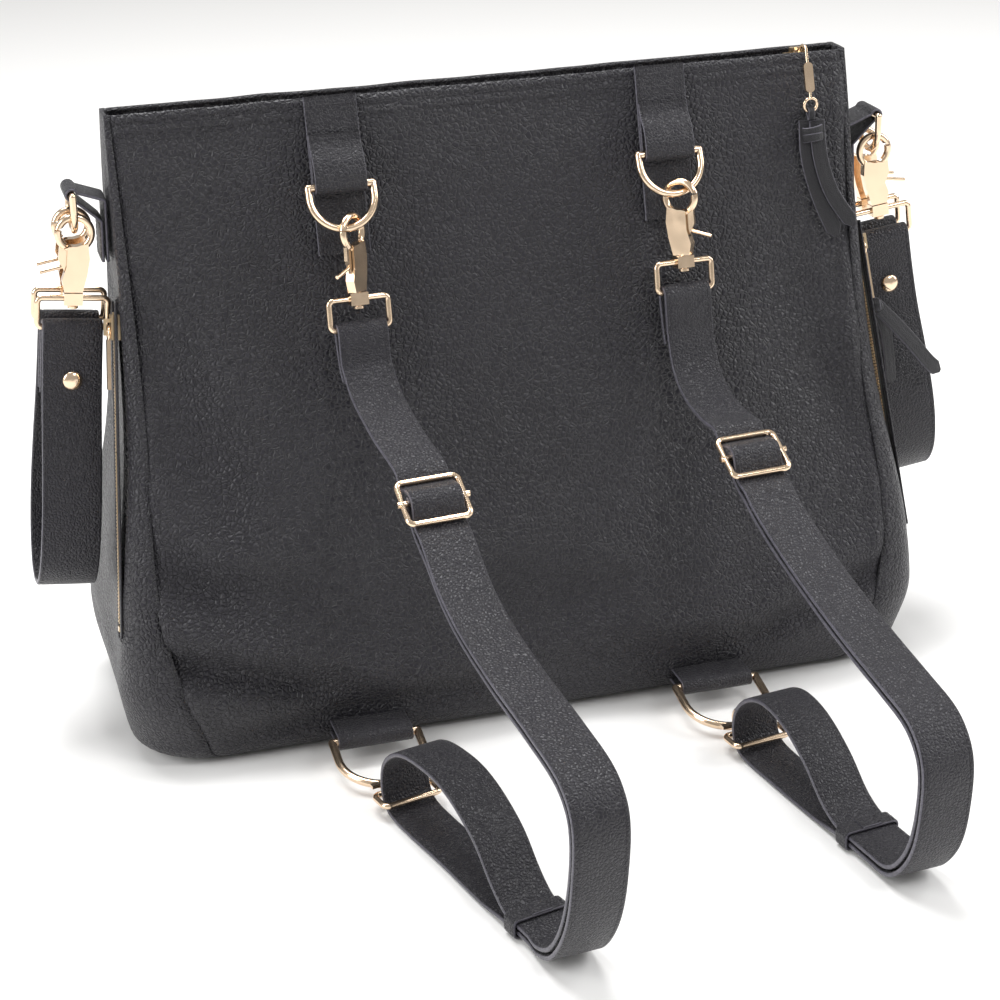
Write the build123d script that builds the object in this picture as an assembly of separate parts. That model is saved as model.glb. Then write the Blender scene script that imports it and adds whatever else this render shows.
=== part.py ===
from build123d import *
import os
from math import atan2, cos, degrees, hypot, pi, radians, sin

# Diaper bag with two backpack straps and two stroller straps.  Millimetres, +Z up.
# Origin: centre of the base on the ground.  +X along the bag's length, the back panel
# that carries the backpack straps faces -Y.

os.makedirs("parts", exist_ok=True)

# ---------------------------------------------------------------- driving dimensions
BAG_HEIGHT = 316.0
TOP_HALF_LENGTH = 188.0
TOP_HALF_DEPTH = 8.5
WAIST_HEIGHT = 165.0
WAIST_HALF_LENGTH = 194.0
WAIST_HALF_DEPTH = 44.0
HIP_HEIGHT = 45.0
HIP_HALF_LENGTH = 211.0
HIP_HALF_DEPTH = 82.0
BASE_HALF_LENGTH = 204.0
BASE_HALF_DEPTH = 75.0
SHELL = 2.0                    # leather and backing of the outer panels
GAP = 0.3                      # clearance between soft neighbours
LINING = 0.7
BOARD = 2.4
CORNER_SHARE = 0.16            # corner radius of a section, as a share of its half depth

WIRE = 3.8                     # wire of the upper D-rings
STRAP_WIDTH = 25.4
STRAP_THICK = 2.6
SLIDER_BULGE = 5.0             # the outer layer rides this far over the tri-glide's plane
LAYER_STEP = 3.5               # centre line to centre line of two strap layers
FOLD_LENGTH = 26.0             # the end folded behind the swivel ring
STRAP_SKEW = 5.2               # the straps lean towards +X as they leave the bag, degrees

TAB_WIDTH = 26.0
UPPER_TAB_X = {"left": -80.0, "right": 87.0}
UPPER_TAB_LENGTH = 76.0
UPPER_BAR_Z = 275.0
UPPER_RING_INNER = 28.0
UPPER_RING_DROP = 21.0
LOWER_TAB_X = {"left": -92.0, "right": 88.0}
LOWER_TAB_WIDTH = 38.0
LOWER_WIRE = 4.2
LOWER_RING_INNER = 39.0
LOWER_RING_DROP = 36.0
LOWER_BAR_OUT = 94.0           # lower bar, out from the bag's middle
LOWER_BAR_Z = 13.0
LOWER_BOW_Z = 5.8              # the lower ring's bow lies just above the ground

EYE_RADIUS = 7.9               # centre line of the snap hook's eye
EYE_WIRE = 3.6
HOOK_TURN = {"left": -44.0, "right": 224.0}    # turn of each hook's flat round its own length
HOOK_LEAN = 10.0
RING_LEAN = 27.0               # the upper D-rings stand off the panel, degrees from hanging straight
HOOK_LENGTH = 32.0             # eye centre to the middle of the swivel boss
GATE_SWING = 8.0               # how far the sprung gate opens inwards, degrees
GATE_ROOM = 0.4
GATE_STEPS = 4
HOOK_DROP = 2.3                # the eye's centre hangs this far below the wire that it hooks
HOOK_ALONG = 2.5               # the hook sits this far towards +X of the ring's middle
SWIVEL_RING_WIRE = 3.0
SWIVEL_RING_DROP = 14.5        # top wire to strap bar
RING_SLACK = 1.6               # a ring is this much wider inside than its strap

CLASP_EYE = 5.8
CLASP_WIRE = 3.2
CLASP_BARS = (9.5, 22.0)       # the clasp's two bars, out from its eye

STROLLER_WIDTH = 29.0
STROLLER_THICK = 3.0
STROLLER_LEAN = 7.0            # the stroller straps hang off the flared sides, degrees
SIDE_WIRE = 3.4
SIDE_RING_INNER = 21.0
SIDE_RING_DROP = 19.0
SIDE_BAR_OUT = 206.0
SIDE_BAR_Z = 279.0
SIDE_TAB_WIDTH = 20.0
HOOK_SPREAD = 7.0              # the two stroller hooks sit this far each side of the ring's middle
# Half of a stroller strap's side profile: distance from the middle, and drop below the wire.
STROLLER_PROFILE = [(10.9, -58), (11.8, -68), (15, -88), (22, -113), (27, -141), (24, -165), (13, -180), (0, -184)]
RIVET_DROP = 74.0
RIVET_PIN = 1.5
RIVET_HEAD = 4.8

TOP_ZIP_LENGTH = 344.0
TOP_ZIP_Z = 310.5
SIDE_ZIP_TOP_Z = 222.0
SIDE_ZIP_BOTTOM_Z = 74.0
SIDE_ZIP_WIDTH = 13.0          # tape edge to tape edge
TAPE = 0.8
TEETH_HEIGHT = 2.0
TEETH_WIDTH = 1.7
TEETH_SLIT = 0.65
SLIDER_LENGTH = 12.0
SLIDER_WIDTH = 8.4
SLIDER_PLATE = 1.1
FIT = 0.1                      # slider plates clear the teeth by this

SIDES = ("left", "right")
SIGN = {"left": -1, "right": 1}

# Each strap's side profile, as distance out from the swivel ring and height.
STRAP_PROFILE = {
    "left": [(6, 192), (20, 180), (45, 172), (76, 167), (98, 156), (116, 142), (141, 125), (185, 114),
             (242, 108), (274, 103), (287, 90), (286, 62), (277, 34), (261, 12), (244, 3.2), (232, 3.6), (210, 3.6)],
    "right": [(5, 190), (12, 172), (26, 161), (46, 156), (66, 153), (84, 143), (102, 130), (132, 118),
              (180, 104), (226, 94), (250, 87), (262, 73), (262, 48), (256, 26), (243, 9), (230, 3.4), (206, 3.6)],
}
SLIDER_AT = {"left": 98.0, "right": 76.0}      # tri-glide, distance out from the swivel ring
JOINT_AT = {"left": 236.0, "right": 228.0}     # where the strap turns back under itself
# The return loop, as distance out from the lower clasp's eye and height.
LOOP_PROFILE = {
    "left": [(162, 3.6), (146, 3.6), (130, 3.6), (110, 1.8), (60, 1.5), (28, 1.5), (17.5, 4), (13.3, 12), (16, 27),
             (30, 39), (52, 44), (76, 43), (104, 31), (120, 15), (131, 7.6), (146, 7.1), (162, 7.1)],
    "right": [(156, 3.6), (119, 3.6), (106, 3.6), (90, 1.8), (50, 1.5), (28, 1.5), (17.5, 4), (13.3, 12), (16, 25),
              (28, 36), (42, 40), (60, 37), (80, 26), (95, 13), (107, 7.7), (119, 7.1), (156, 7.1)],
}
KEEPER_AT = {"left": 137.5, "right": 114.5}    # out from the lower clasp's eye
KEEPER_WIDTH = 9.0
KEEPER_THICK = 1.7
TAB_LEATHER = 1.6


# ---------------------------------------------------------------- helpers
def save(name, shape):
    """Write one sub-part, on its own, to its STEP file."""
    solids = shape.solids()
    export_step(solids[0] if len(solids) == 1 else Compound(children=list(solids)), f"parts/{name}.step")


def smooth(points, steps=6):
    """Curve through hand-chosen points; each tangent is scaled to its run, so uneven runs never loop."""
    ends = [points[0]] + list(points) + [points[-1]]
    path = []
    for a, b, c, d in zip(ends, ends[1:], ends[2:], ends[3:]):
        run = hypot(c[0] - b[0], c[1] - b[1])
        lead = run / (run + hypot(b[0] - a[0], b[1] - a[1]))
        trail = run / (run + hypot(d[0] - c[0], d[1] - c[1]))
        for k in range(steps):
            t = k / steps
            path.append(tuple((2 * t**3 - 3 * t**2 + 1) * b[i] + (3 * t**2 - 2 * t**3) * c[i]
                              + (t**3 - 2 * t**2 + t) * lead * (c[i] - a[i]) + (t**3 - t**2) * trail * (d[i] - b[i])
                              for i in (0, 1)))
    return path + [tuple(points[-1])]


def shifted(path, distance):
    """A path moved sideways, to its left when the distance is positive."""
    moved = []
    for i, (x, y) in enumerate(path):
        x0, y0 = path[max(i - 1, 0)]
        x1, y1 = path[min(i + 1, len(path) - 1)]
        run = hypot(x1 - x0, y1 - y0)
        moved.append((x - distance * (y1 - y0) / run, y + distance * (x1 - x0) / run))
    return moved


def arc(centre, radius, start, end, steps=8):
    """Points of a circular arc, in degrees."""
    angles = [radians(start + (end - start) * k / steps) for k in range(steps + 1)]
    return [(centre[0] + radius * cos(t), centre[1] + radius * sin(t)) for t in angles]


def band(path, thickness, width, plane):
    """A flat strip of the given width that follows a path drawn in a plane."""
    outline = shifted(path, thickness / 2) + shifted(path, -thickness / 2)[::-1]
    face = plane * make_face(Polyline(*outline, close=True))
    return extrude(face, width / 2, both=True)


def side_plane(x, y, turn):
    """Upright plane whose first axis runs outwards, away from the back panel, turned towards +X."""
    a = radians(turn)
    return Plane(origin=(x, y, 0), x_dir=(sin(a), -cos(a), 0), z_dir=(-cos(a), -sin(a), 0))


def rod(points, diameter, radius):
    """Round wire along straight runs with rounded corners."""
    path = FilletPolyline(*points, radius=radius)
    return sweep(Plane(path @ 0, z_dir=path % 0) * Circle(diameter / 2), path=path)


def d_ring(inner, drop, wire):
    """D-ring in its XZ plane: straight bar along X at the origin, bow hanging below."""
    half = (inner + wire) / 2
    bar = Line((-half, 0, 0), (half, 0, 0))
    knee = -max(drop - half, wire)
    bow = [Line((half, 0, 0), (half, 0, knee)),
           ThreePointArc((half, 0, knee), (0, 0, -drop), (-half, 0, knee)),
           Line((-half, 0, knee), (-half, 0, 0))]
    ring = sweep(Plane((-half, 0, 0), z_dir=(1, 0, 0)) * Circle(wire / 2), path=bar)
    for run in bow:
        ring += sweep(Plane(run @ 0, z_dir=run % 0) * Circle(wire / 2), path=run)
    for end in (-half, half):
        ring += Pos(end, 0, 0) * Sphere(wire / 2) + Pos(end, 0, knee) * Sphere(wire / 2)
    return ring


def width_at(table, z):
    """Straight-line value of a (height, value) table at a height."""
    for (z0, v0), (z1, v1) in zip(table, table[1:]):
        if z <= z1:
            return v0 + (v1 - v0) * (z - z0) / (z1 - z0)
    return table[-1][1]


HALF_LENGTHS = [(0, BASE_HALF_LENGTH), (HIP_HEIGHT, HIP_HALF_LENGTH),
                (WAIST_HEIGHT, WAIST_HALF_LENGTH), (BAG_HEIGHT, TOP_HALF_LENGTH)]
HALF_DEPTHS = [(0, BASE_HALF_DEPTH), (HIP_HEIGHT, HIP_HALF_DEPTH),
               (WAIST_HEIGHT, WAIST_HALF_DEPTH), (BAG_HEIGHT, TOP_HALF_DEPTH)]


def half_length(z):
    return width_at(HALF_LENGTHS, z)


def half_depth(z):
    return width_at(HALF_DEPTHS, z)


def bag_block(inset, bottom, top):
    """The bag's outer shape, drawn in by an inset, between two heights."""
    levels = sorted({bottom, top} | {z for z, _ in HALF_LENGTHS if bottom < z < top})
    sections = []
    for z in levels:
        corner = CORNER_SHARE * half_depth(z)
        sections.append(Pos(0, 0, z) * RectangleRounded(
            2 * (half_length(z) - inset), 2 * (half_depth(z) - inset), max(corner - inset, 1.0)))
    return loft(sections, ruled=True)


def shell(inset, thickness, bottom, top):
    """A wall of the bag's shape, open at both ends."""
    return bag_block(inset, bottom, top) - bag_block(inset + thickness, bottom, top)


def slab(x0, x1, y0, y1, z0, z1):
    return Pos((x0 + x1) / 2, (y0 + y1) / 2, (z0 + z1) / 2) * Box(x1 - x0, y1 - y0, z1 - z0)


# ---------------------------------------------------------------- bag body
def seam_prism(sign):
    """Everything outside the seam between the large panels and one gusset."""
    outer = 2 * HIP_HALF_LENGTH
    edge = [(half_length(z) - CORNER_SHARE * half_depth(z), z) for z, _ in HALF_LENGTHS]
    points = [(sign * x, z) for x, z in edge] + [(sign * outer, BAG_HEIGHT), (sign * outer, 0)]
    return extrude(Plane.XZ * make_face(Polyline(*points, close=True)), 2 * HIP_HALF_DEPTH, both=True)


def body_panels():
    walls = shell(0, SHELL, SHELL, BAG_HEIGHT)
    for side in SIDES:
        plane, length = side_zip_plane(side)
        slot = plane * Box(length + 7, SIDE_ZIP_WIDTH + 2 * GAP, 6 * SHELL)
        save(f"{side}_gusset", (walls & seam_prism(SIGN[side])) - slot)
        walls = walls - seam_prism(SIGN[side])
    reach = 2 * HIP_HALF_LENGTH
    save("back_panel", walls & slab(-reach, reach, -reach, 0, 0, BAG_HEIGHT))
    save("front_panel", walls & slab(-reach, reach, 0, reach, 0, BAG_HEIGHT))
    save("base_panel", bag_block(0, 0, SHELL))


def inside():
    board_top = SHELL + GAP + BOARD
    save("base_board", bag_block(SHELL + 3 * GAP, SHELL + GAP, board_top))
    floor = board_top + GAP
    inset = SHELL + GAP
    lining_top = TOP_ZIP_Z - 12
    lining = bag_block(inset, floor, lining_top) - bag_block(inset + LINING, floor + LINING, lining_top)
    save("lining", lining)
    pocket = shell(inset + LINING + GAP, LINING, 90, 215) & slab(-85, 85, 0, 200, 90, 215)
    save("inner_pocket", pocket)


# ---------------------------------------------------------------- zips
def zip_chain(length, tape_width):
    """Closed zip along X: two tapes and their two rows of teeth, with a hairline slit between."""
    tapes = []
    teeth = []
    for sign in (-1, 1):
        inner = TEETH_SLIT
        outer = TEETH_SLIT + TEETH_WIDTH
        teeth.append(Pos(0, sign * (inner + outer) / 2, 0) * Box(length, TEETH_WIDTH, TEETH_HEIGHT))
        tapes.append(Pos(0, sign * (outer + tape_width) / 2, 0) * Box(length, tape_width - outer, TAPE))
    return tapes, teeth


def zip_slider():
    """Two plates joined by a post that runs in the slit, and a crown for the pull.  Travel is along X."""
    lift = TEETH_HEIGHT / 2 + FIT
    plates = [Pos(0, 0, s * (lift + SLIDER_PLATE / 2)) * Box(SLIDER_LENGTH, SLIDER_WIDTH, SLIDER_PLATE)
              for s in (-1, 1)]
    post = Pos(SLIDER_LENGTH / 4, 0, 0) * Box(SLIDER_LENGTH / 3, 2 * (TEETH_SLIT - FIT), 2 * lift + SLIDER_PLATE)
    crown_base = lift + SLIDER_PLATE
    crown = Pos(0, 0, crown_base + 1.6) * Box(8.0, 2.2, 3.4) - Pos(0, 0, crown_base + 0.95) * Box(4.6, 4, 2.1)
    return plates[0] + plates[1] + post + crown


CROWN_HOLE = TEETH_HEIGHT / 2 + FIT + SLIDER_PLATE + 0.95   # height of the crown's hole above the chain


def back_y(z):
    """Back panel's outer face at a height."""
    return -half_depth(z)


def top_zip():
    place = Pos(0, 0, TOP_ZIP_Z)
    tape_width = half_depth(TOP_ZIP_Z) - SHELL - GAP
    tapes, teeth = zip_chain(TOP_ZIP_LENGTH, tape_width)
    save("top_zip_tapes", place * Compound(children=tapes))
    end = TOP_ZIP_LENGTH / 2 + 1.6
    stops = [Pos(s * end, 0, 0) * Box(3.0, 5.0, 2.4) for s in (-1, 1)]
    save("top_zip_teeth", place * Compound(children=teeth + stops))
    slider_x = TOP_ZIP_LENGTH / 2 - SLIDER_LENGTH / 2 - 1
    save("top_zip_slider", Pos(slider_x, 0, TOP_ZIP_Z) * zip_slider())

    eye_z = TOP_ZIP_Z + CROWN_HOLE
    over_y, over_z = -TOP_HALF_DEPTH - 3.0, BAG_HEIGHT + 2.2
    end_z = BAG_HEIGHT - 22
    end_y = back_y(end_z) - 5.5
    route = [(slider_x, 2.4, eye_z), (slider_x, -2.4, eye_z), (slider_x, over_y + 5, over_z),
             (slider_x, over_y, over_z), (slider_x, end_y, end_z)]
    pull = rod(route, 1.6, 0.8)
    share = 0.6
    plate = Plane(origin=(slider_x, over_y + share * (end_y - over_y), over_z + share * (end_z - over_z)),
                  x_dir=(1, 0, 0), z_dir=(0, end_z - over_z, over_y - end_y))
    pull += plate * extrude(RectangleRounded(4.8, 15, 2.0), 0.9, both=True)
    ring_z = end_z - 3.6
    pull += Pos(slider_x, end_y, ring_z) * Rot(90, 0, 0) * Torus(3.4, 0.8)
    save("top_zip_pull", pull)

    hang = ring_z - 3.4                                  # the ring's lowest wire, where the leather hangs
    knot_z = hang - 10
    knot_y = back_y(knot_z - 4) - GAP - 3.1
    fold = [(knot_y - 1.7, knot_z + 4.2)] + arc((end_y, hang), 2.1, 180, 0) + [(knot_y + 1.7, knot_z + 4.2)]
    sheet = Plane(origin=(slider_x, 0, 0), x_dir=(0, 1, 0), z_dir=(1, 0, 0))
    leather = [band(fold, 1.2, 3.0, sheet), Pos(slider_x, knot_y, knot_z) * Box(9.0, 6.0, 8.0)]
    for k, dx in enumerate((-2.0, 3.0)):
        out = GAP + 1.0 + 2.2 * k
        strip = [(back_y(z) - out, z) for z in (knot_z - 4.2, knot_z - 66)]
        leather.append(band(strip, 1.6, 8.0, Plane(origin=(slider_x + dx, 0, 0), x_dir=(0, 1, 0), z_dir=(1, 0, 0))))
    save("top_zip_tassel", Compound(children=leather))


def side_zip_plane(side):
    """Plane of one side zip, set in its gusset: X runs down the zip, Z out of the bag.  Also its length."""
    sign = SIGN[side]
    ends = []
    for z in (SIDE_ZIP_TOP_Z, SIDE_ZIP_BOTTOM_Z):
        flat = half_depth(z) * (1 - CORNER_SHARE) - SIDE_ZIP_WIDTH / 2 - 1.5
        ends.append(Vector(sign * (half_length(z) + GAP), -flat, z))
    top, low = ends
    down = (low - top).normalized()
    out = Vector(sign, 0, 0)
    normal = (out - down * down.dot(out)).normalized()
    return Plane(origin=(top + low) * 0.5, x_dir=down, z_dir=normal), (low - top).length


def side_zips():
    for side in SIDES:
        plane, length = side_zip_plane(side)
        tapes, teeth = zip_chain(length, SIDE_ZIP_WIDTH / 2)
        save(f"{side}_zip_tapes", plane * Compound(children=tapes))
        stop = Pos(length / 2 + 1.6, 0, 0) * Box(3.0, 5.0, 2.4)
        save(f"{side}_zip_teeth", plane * Compound(children=teeth + [stop]))
        start = -length / 2 + SLIDER_LENGTH / 2 + 1
        save(f"{side}_zip_slider", plane * Pos(start, 0, 0) * Rot(0, 0, 180) * zip_slider())
        # wire eye through the crown, then a flat bar that hangs down along the zip
        hang = Pos(start, 0, CROWN_HOLE)
        pull = hang * Pos(3.1, 0, 0) * Torus(3.1, 0.75)
        pull += hang * Pos(18, 0, 0.2) * Box(24, 4.6, 1.8)
        save(f"{side}_zip_pull", plane * pull)
        if side == "right":
            knot = hang * Pos(34.3, 0, 2.2) * Sphere(4.0)
            tails = [hang * Pos(34 + run / 2, y, 5.0) * Rot(0, -8, turn) * Box(run, 4, 2)
                     for run, y, turn in ((36, 4.5, 12), (46, -4.5, -9))]
            thong = knot + tails[0] + tails[1]
            save("right_zip_thong", plane * thong)


# ---------------------------------------------------------------- snap hooks
def turned(x, y, z, lean, turn):
    """Plane for a snap hook: X across its flat, Y up its length, Z out of its flat."""
    a, b = radians(turn), radians(lean)
    across = Vector(cos(a), -sin(a), 0)
    out = Vector(-sin(a), -cos(a), 0)

    def tip(v):
        return Vector(v.X, v.Y * cos(b) + v.Z * sin(b), v.Z * cos(b) - v.Y * sin(b))
    return Plane(origin=(x, y, z), x_dir=tip(across), z_dir=tip(out))


def wedge(start, end, reach):
    """Pie slice of the XY plane between two angles, as a tall solid."""
    steps = 6
    angles = [radians(start + (end - start) * k / steps) for k in range(steps + 1)]
    points = [(0, 0)] + [(reach * cos(a), reach * sin(a)) for a in angles]
    return extrude(make_face(Polyline(*points, close=True)), reach, both=True)


def snap_hook():
    """Hook with its swivel post, and its sprung gate, eye centre at the origin and hanging along -Y."""
    half = EYE_WIRE / 2
    eye = Torus(EYE_RADIUS, half)
    mouth = wedge(168, 236, 3 * EYE_RADIUS)
    bottom = -HOOK_LENGTH + 3.3
    pivot = Vector(0.4, -HOOK_LENGTH + 11)
    outline = [(-3.4, -6.6), (6.4, -4.6), (7.4, -12), (6.4, -20), (4.4, bottom), (-4.4, bottom),
               (-5.6, -23), (-3.6, -16)]
    body = (eye - mouth) + extrude(make_face(Polyline(*outline, close=True)), 2.4, both=True)
    body -= Cylinder(EYE_RADIUS - half, 20)
    arm = [(-7.0, -4.2), (-3.9, -7.0), (-1.4, -12), (2.6, pivot.Y + 2.6), (2.6, pivot.Y - 2.6),
           (-2.0, pivot.Y - 2.6), (-7.4, -13)]
    arm = make_face(Polyline(*arm, close=True))
    swing = Pos(pivot.X, pivot.Y, 0)
    # room for the gate over its whole swing: its arm, and the piece of eye that it carries
    moving = extrude(offset(arm, GATE_ROOM), 1.2, both=True)
    moving += Torus(EYE_RADIUS, half + GATE_ROOM) & wedge(169, 236, 3 * EYE_RADIUS)
    for step in range(GATE_STEPS + 1):
        angle = GATE_SWING * step / GATE_STEPS
        body -= moving.moved(swing * Rot(0, 0, -angle) * swing.inverse())
    body += Pos(pivot.X, pivot.Y, 0) * Cylinder(1.2, 4)
    body += Pos(0, -HOOK_LENGTH - 0.6, 0) * Rot(90, 0, 0) * Cylinder(1.6, 8.4)
    body += Pos(0, -HOOK_LENGTH - 4.2, 0) * Rot(90, 0, 0) * Cylinder(2.6, 1.2)

    gate = eye & wedge(171, 233, 3 * EYE_RADIUS)
    blade = extrude(arm, 0.9, both=True) - Cylinder(EYE_RADIUS - half, 20)
    gate += blade - swing * Cylinder(1.27, 10)
    lever = Line((-5.0, -16.4, 0), (-16.0, -19.4, 0))
    gate += sweep(Plane(lever @ 0, z_dir=lever % 0) * Circle(0.9), path=lever)
    return body, gate, pivot


def swivel_ring(inner):
    """Ring that turns on the hook's post: boss, top wire and strap bar, in the hook's own plane."""
    half = (inner + SWIVEL_RING_WIRE) / 2
    top = -HOOK_LENGTH
    low = top - SWIVEL_RING_DROP
    corners = [(-half, top, 0), (half, top, 0), (half, low, 0), (-half, low, 0)]
    path = FilletPolyline(*corners, radius=2.4, close=True)
    ring = sweep(Plane(path @ 0, z_dir=path % 0) * Circle(SWIVEL_RING_WIRE / 2), path=path)
    ring += Pos(0, top, 0) * Box(9.0, 6.0, 6.4)
    return ring - Pos(0, top, 0) * Rot(90, 0, 0) * Cylinder(1.68, 12) \
        - Pos(0, top - 4.1, 0) * Rot(90, 0, 0) * Cylinder(2.9, 2.0)


# ---------------------------------------------------------------- upper hardware of the backpack straps
PANEL_SLOPE = degrees(atan2(WAIST_HALF_DEPTH - TOP_HALF_DEPTH, BAG_HEIGHT - WAIST_HEIGHT))


def tab_plane(x):
    """Plane on the back panel at the middle of an upper tab's patch: Y up the panel, Z out of it."""
    z = BAG_HEIGHT - (UPPER_TAB_LENGTH / 2 + 0.5) * cos(radians(PANEL_SLOPE))
    a = radians(PANEL_SLOPE)
    return Plane(origin=(x, back_y(z), z), x_dir=(1, 0, 0), z_dir=(0, -cos(a), sin(a)))


BAR_OUT = GAP + SHELL + GAP + TAB_LEATHER + GAP + WIRE / 2       # upper bar, out from the panel


def upper_bar(side):
    plane = tab_plane(UPPER_TAB_X[side])
    a = radians(PANEL_SLOPE)
    along = (UPPER_BAR_Z - plane.origin.Z - BAR_OUT * sin(a)) / cos(a)
    return plane.from_local_coords(Vector(0, along, BAR_OUT)), along


def upper_wire(side):
    """Point on the upper ring's bow that the hook hangs from."""
    bar, _ = upper_bar(side)
    half = (UPPER_RING_INNER + WIRE) / 2
    straight = max(UPPER_RING_DROP - half, WIRE)
    drop = straight + (half**2 - HOOK_ALONG**2) ** 0.5
    a = radians(RING_LEAN)
    return bar + Vector(HOOK_ALONG, -drop * sin(a), -drop * cos(a))


def hook_plane(side, turn=None):
    wire = upper_wire(side)
    b = radians(HOOK_LEAN)
    turn = HOOK_TURN[side] if turn is None else turn
    return turned(wire.X, wire.Y - HOOK_DROP * sin(b), wire.Z - HOOK_DROP * cos(b), HOOK_LEAN, turn)


def ring_bar(side):
    """Middle of the swivel ring's strap bar."""
    return hook_plane(side).from_local_coords(Vector(0, -HOOK_LENGTH - SWIVEL_RING_DROP, 0))


def upper_hardware():
    for side in SIDES:
        plane = tab_plane(UPPER_TAB_X[side])
        bar, along = upper_bar(side)
        patch = plane * Pos(0, 0, GAP + SHELL / 2) * Box(TAB_WIDTH, UPPER_TAB_LENGTH, SHELL)
        reach = WIRE / 2 + GAP + TAB_LEATHER / 2
        face = GAP + SHELL
        loop = smooth([(along + 26, face + 0.9), (along + 20, face + 1.2), (along + 12, face + 5.8),
                       (along + 5, BAR_OUT + reach + 0.2)])
        loop += arc((along, BAR_OUT), reach, 90, 270) + [(along + 10, BAR_OUT - reach)]
        sheet = Plane(origin=plane.origin, x_dir=plane.y_dir, z_dir=(1, 0, 0))
        save(f"{side}_upper_tab", Compound(children=[patch, band(loop, TAB_LEATHER, TAB_WIDTH, sheet)]))
        save(f"{side}_upper_ring", Pos(*bar) * Rot(-RING_LEAN, 0, 0) * d_ring(UPPER_RING_INNER, UPPER_RING_DROP, WIRE))
        body, gate, _ = snap_hook()
        save(f"{side}_upper_hook", hook_plane(side) * body)
        save(f"{side}_upper_gate", hook_plane(side) * gate)
        save(f"{side}_upper_swivel", hook_plane(side, -STRAP_SKEW) * swivel_ring(STRAP_WIDTH + RING_SLACK))


# ---------------------------------------------------------------- backpack straps
def strap_plane(side):
    bar = ring_bar(side)
    return side_plane(bar.X, bar.Y, STRAP_SKEW)


def clasp_eye(side):
    """Centre of the lower clasp's eye, on the lower ring's bow."""
    dip = LOWER_BAR_Z - LOWER_BOW_Z
    out = LOWER_BAR_OUT + (LOWER_RING_DROP**2 - dip**2) ** 0.5
    lift = CLASP_EYE - CLASP_WIRE / 2 - LOWER_WIRE / 2 - FIT
    return Vector(LOWER_TAB_X[side], -out, LOWER_BOW_Z + lift)


def joint_point(side):
    point = strap_plane(side).from_local_coords(Vector(JOINT_AT[side], 0, 0))
    return Vector(point.X, point.Y, 0)


def loop_turn(side):
    eye, joint = clasp_eye(side), joint_point(side)
    return degrees(atan2(joint.X - eye.X, eye.Y - joint.Y))


def cut_plane(side):
    """Upright plane where the strap's two directions meet, facing the bag."""
    middle = radians((STRAP_SKEW + loop_turn(side)) / 2)
    return Plane(origin=joint_point(side), x_dir=(cos(middle), sin(middle), 0), z_dir=(-sin(middle), cos(middle), 0))


def beyond_joint(side, toward):
    """Block on one side of the joint plane, low enough to take only what lies on the ground."""
    return cut_plane(side) * Pos(0, 0, toward * 40) * Box(80, 40, 80)


def strap_path(side):
    """Centre line of the outer layer: folded over the swivel ring, through the tri-glide, down to the ground."""
    z = ring_bar(side).Z
    reach = SWIVEL_RING_WIRE / 2 + GAP + STRAP_THICK / 2
    profile = STRAP_PROFILE[side]
    at = SLIDER_AT[side]
    middle, (tx, tz) = slider_place(side)
    nx, nz = -tz, tx
    weave = [(middle[0] + tx * u + nx * v, middle[1] + tz * u + nz * v)
             for u, v in ((-19, -1.6), (-11.5, -3.4), (0, SLIDER_BULGE), (11.5, -3.4), (19, -2.0))]
    before = [p for p in profile if p[0] < at - 22]
    after = [p for p in profile if p[0] > at + 20 or p[1] < 100]
    front = smooth(before + weave + after)
    tail = [p for p in shifted(front, -LAYER_STEP - 1.0) if z - FOLD_LENGTH < p[1] < z - 12]
    return smooth(tail[::-1] + [(-reach, z - 3)], 2) + arc((0, z), reach, 180, 10) + front


def slider_place(side):
    """Middle of the tri-glide on the profile, and the strap's direction there."""
    curve = smooth(STRAP_PROFILE[side], 12)
    at = SLIDER_AT[side]
    i = min(range(2, len(curve) // 2), key=lambda k: abs(curve[k][0] - at))
    dx, dz = curve[i + 6][0] - curve[i - 6][0], curve[i + 6][1] - curve[i - 6][1]
    run = hypot(dx, dz)
    return curve[i], (dx / run, dz / run)


def tri_glide(side):
    """Flat wire frame with a middle bar, lying along the strap."""
    (s, z), (tx, tz) = slider_place(side)
    plane = strap_plane(side)
    centre = plane.from_local_coords(Vector(s, z, 0))
    along = plane.x_dir * tx + Vector(0, 0, tz)
    frame = Plane(origin=centre, x_dir=along, z_dir=along.cross(plane.z_dir) * -1)
    half = (STRAP_WIDTH + RING_SLACK + SWIVEL_RING_WIRE) / 2
    corners = [(-11.5, -half, 0), (11.5, -half, 0), (11.5, half, 0), (-11.5, half, 0)]
    path = FilletPolyline(*corners, radius=3.0, close=True)
    glide = sweep(Plane(path @ 0, z_dir=path % 0) * Circle(1.5), path=path)
    glide += Rot(90, 0, 0) * Cylinder(1.5, 2 * half + 5.0)
    return frame * glide, frame


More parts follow.
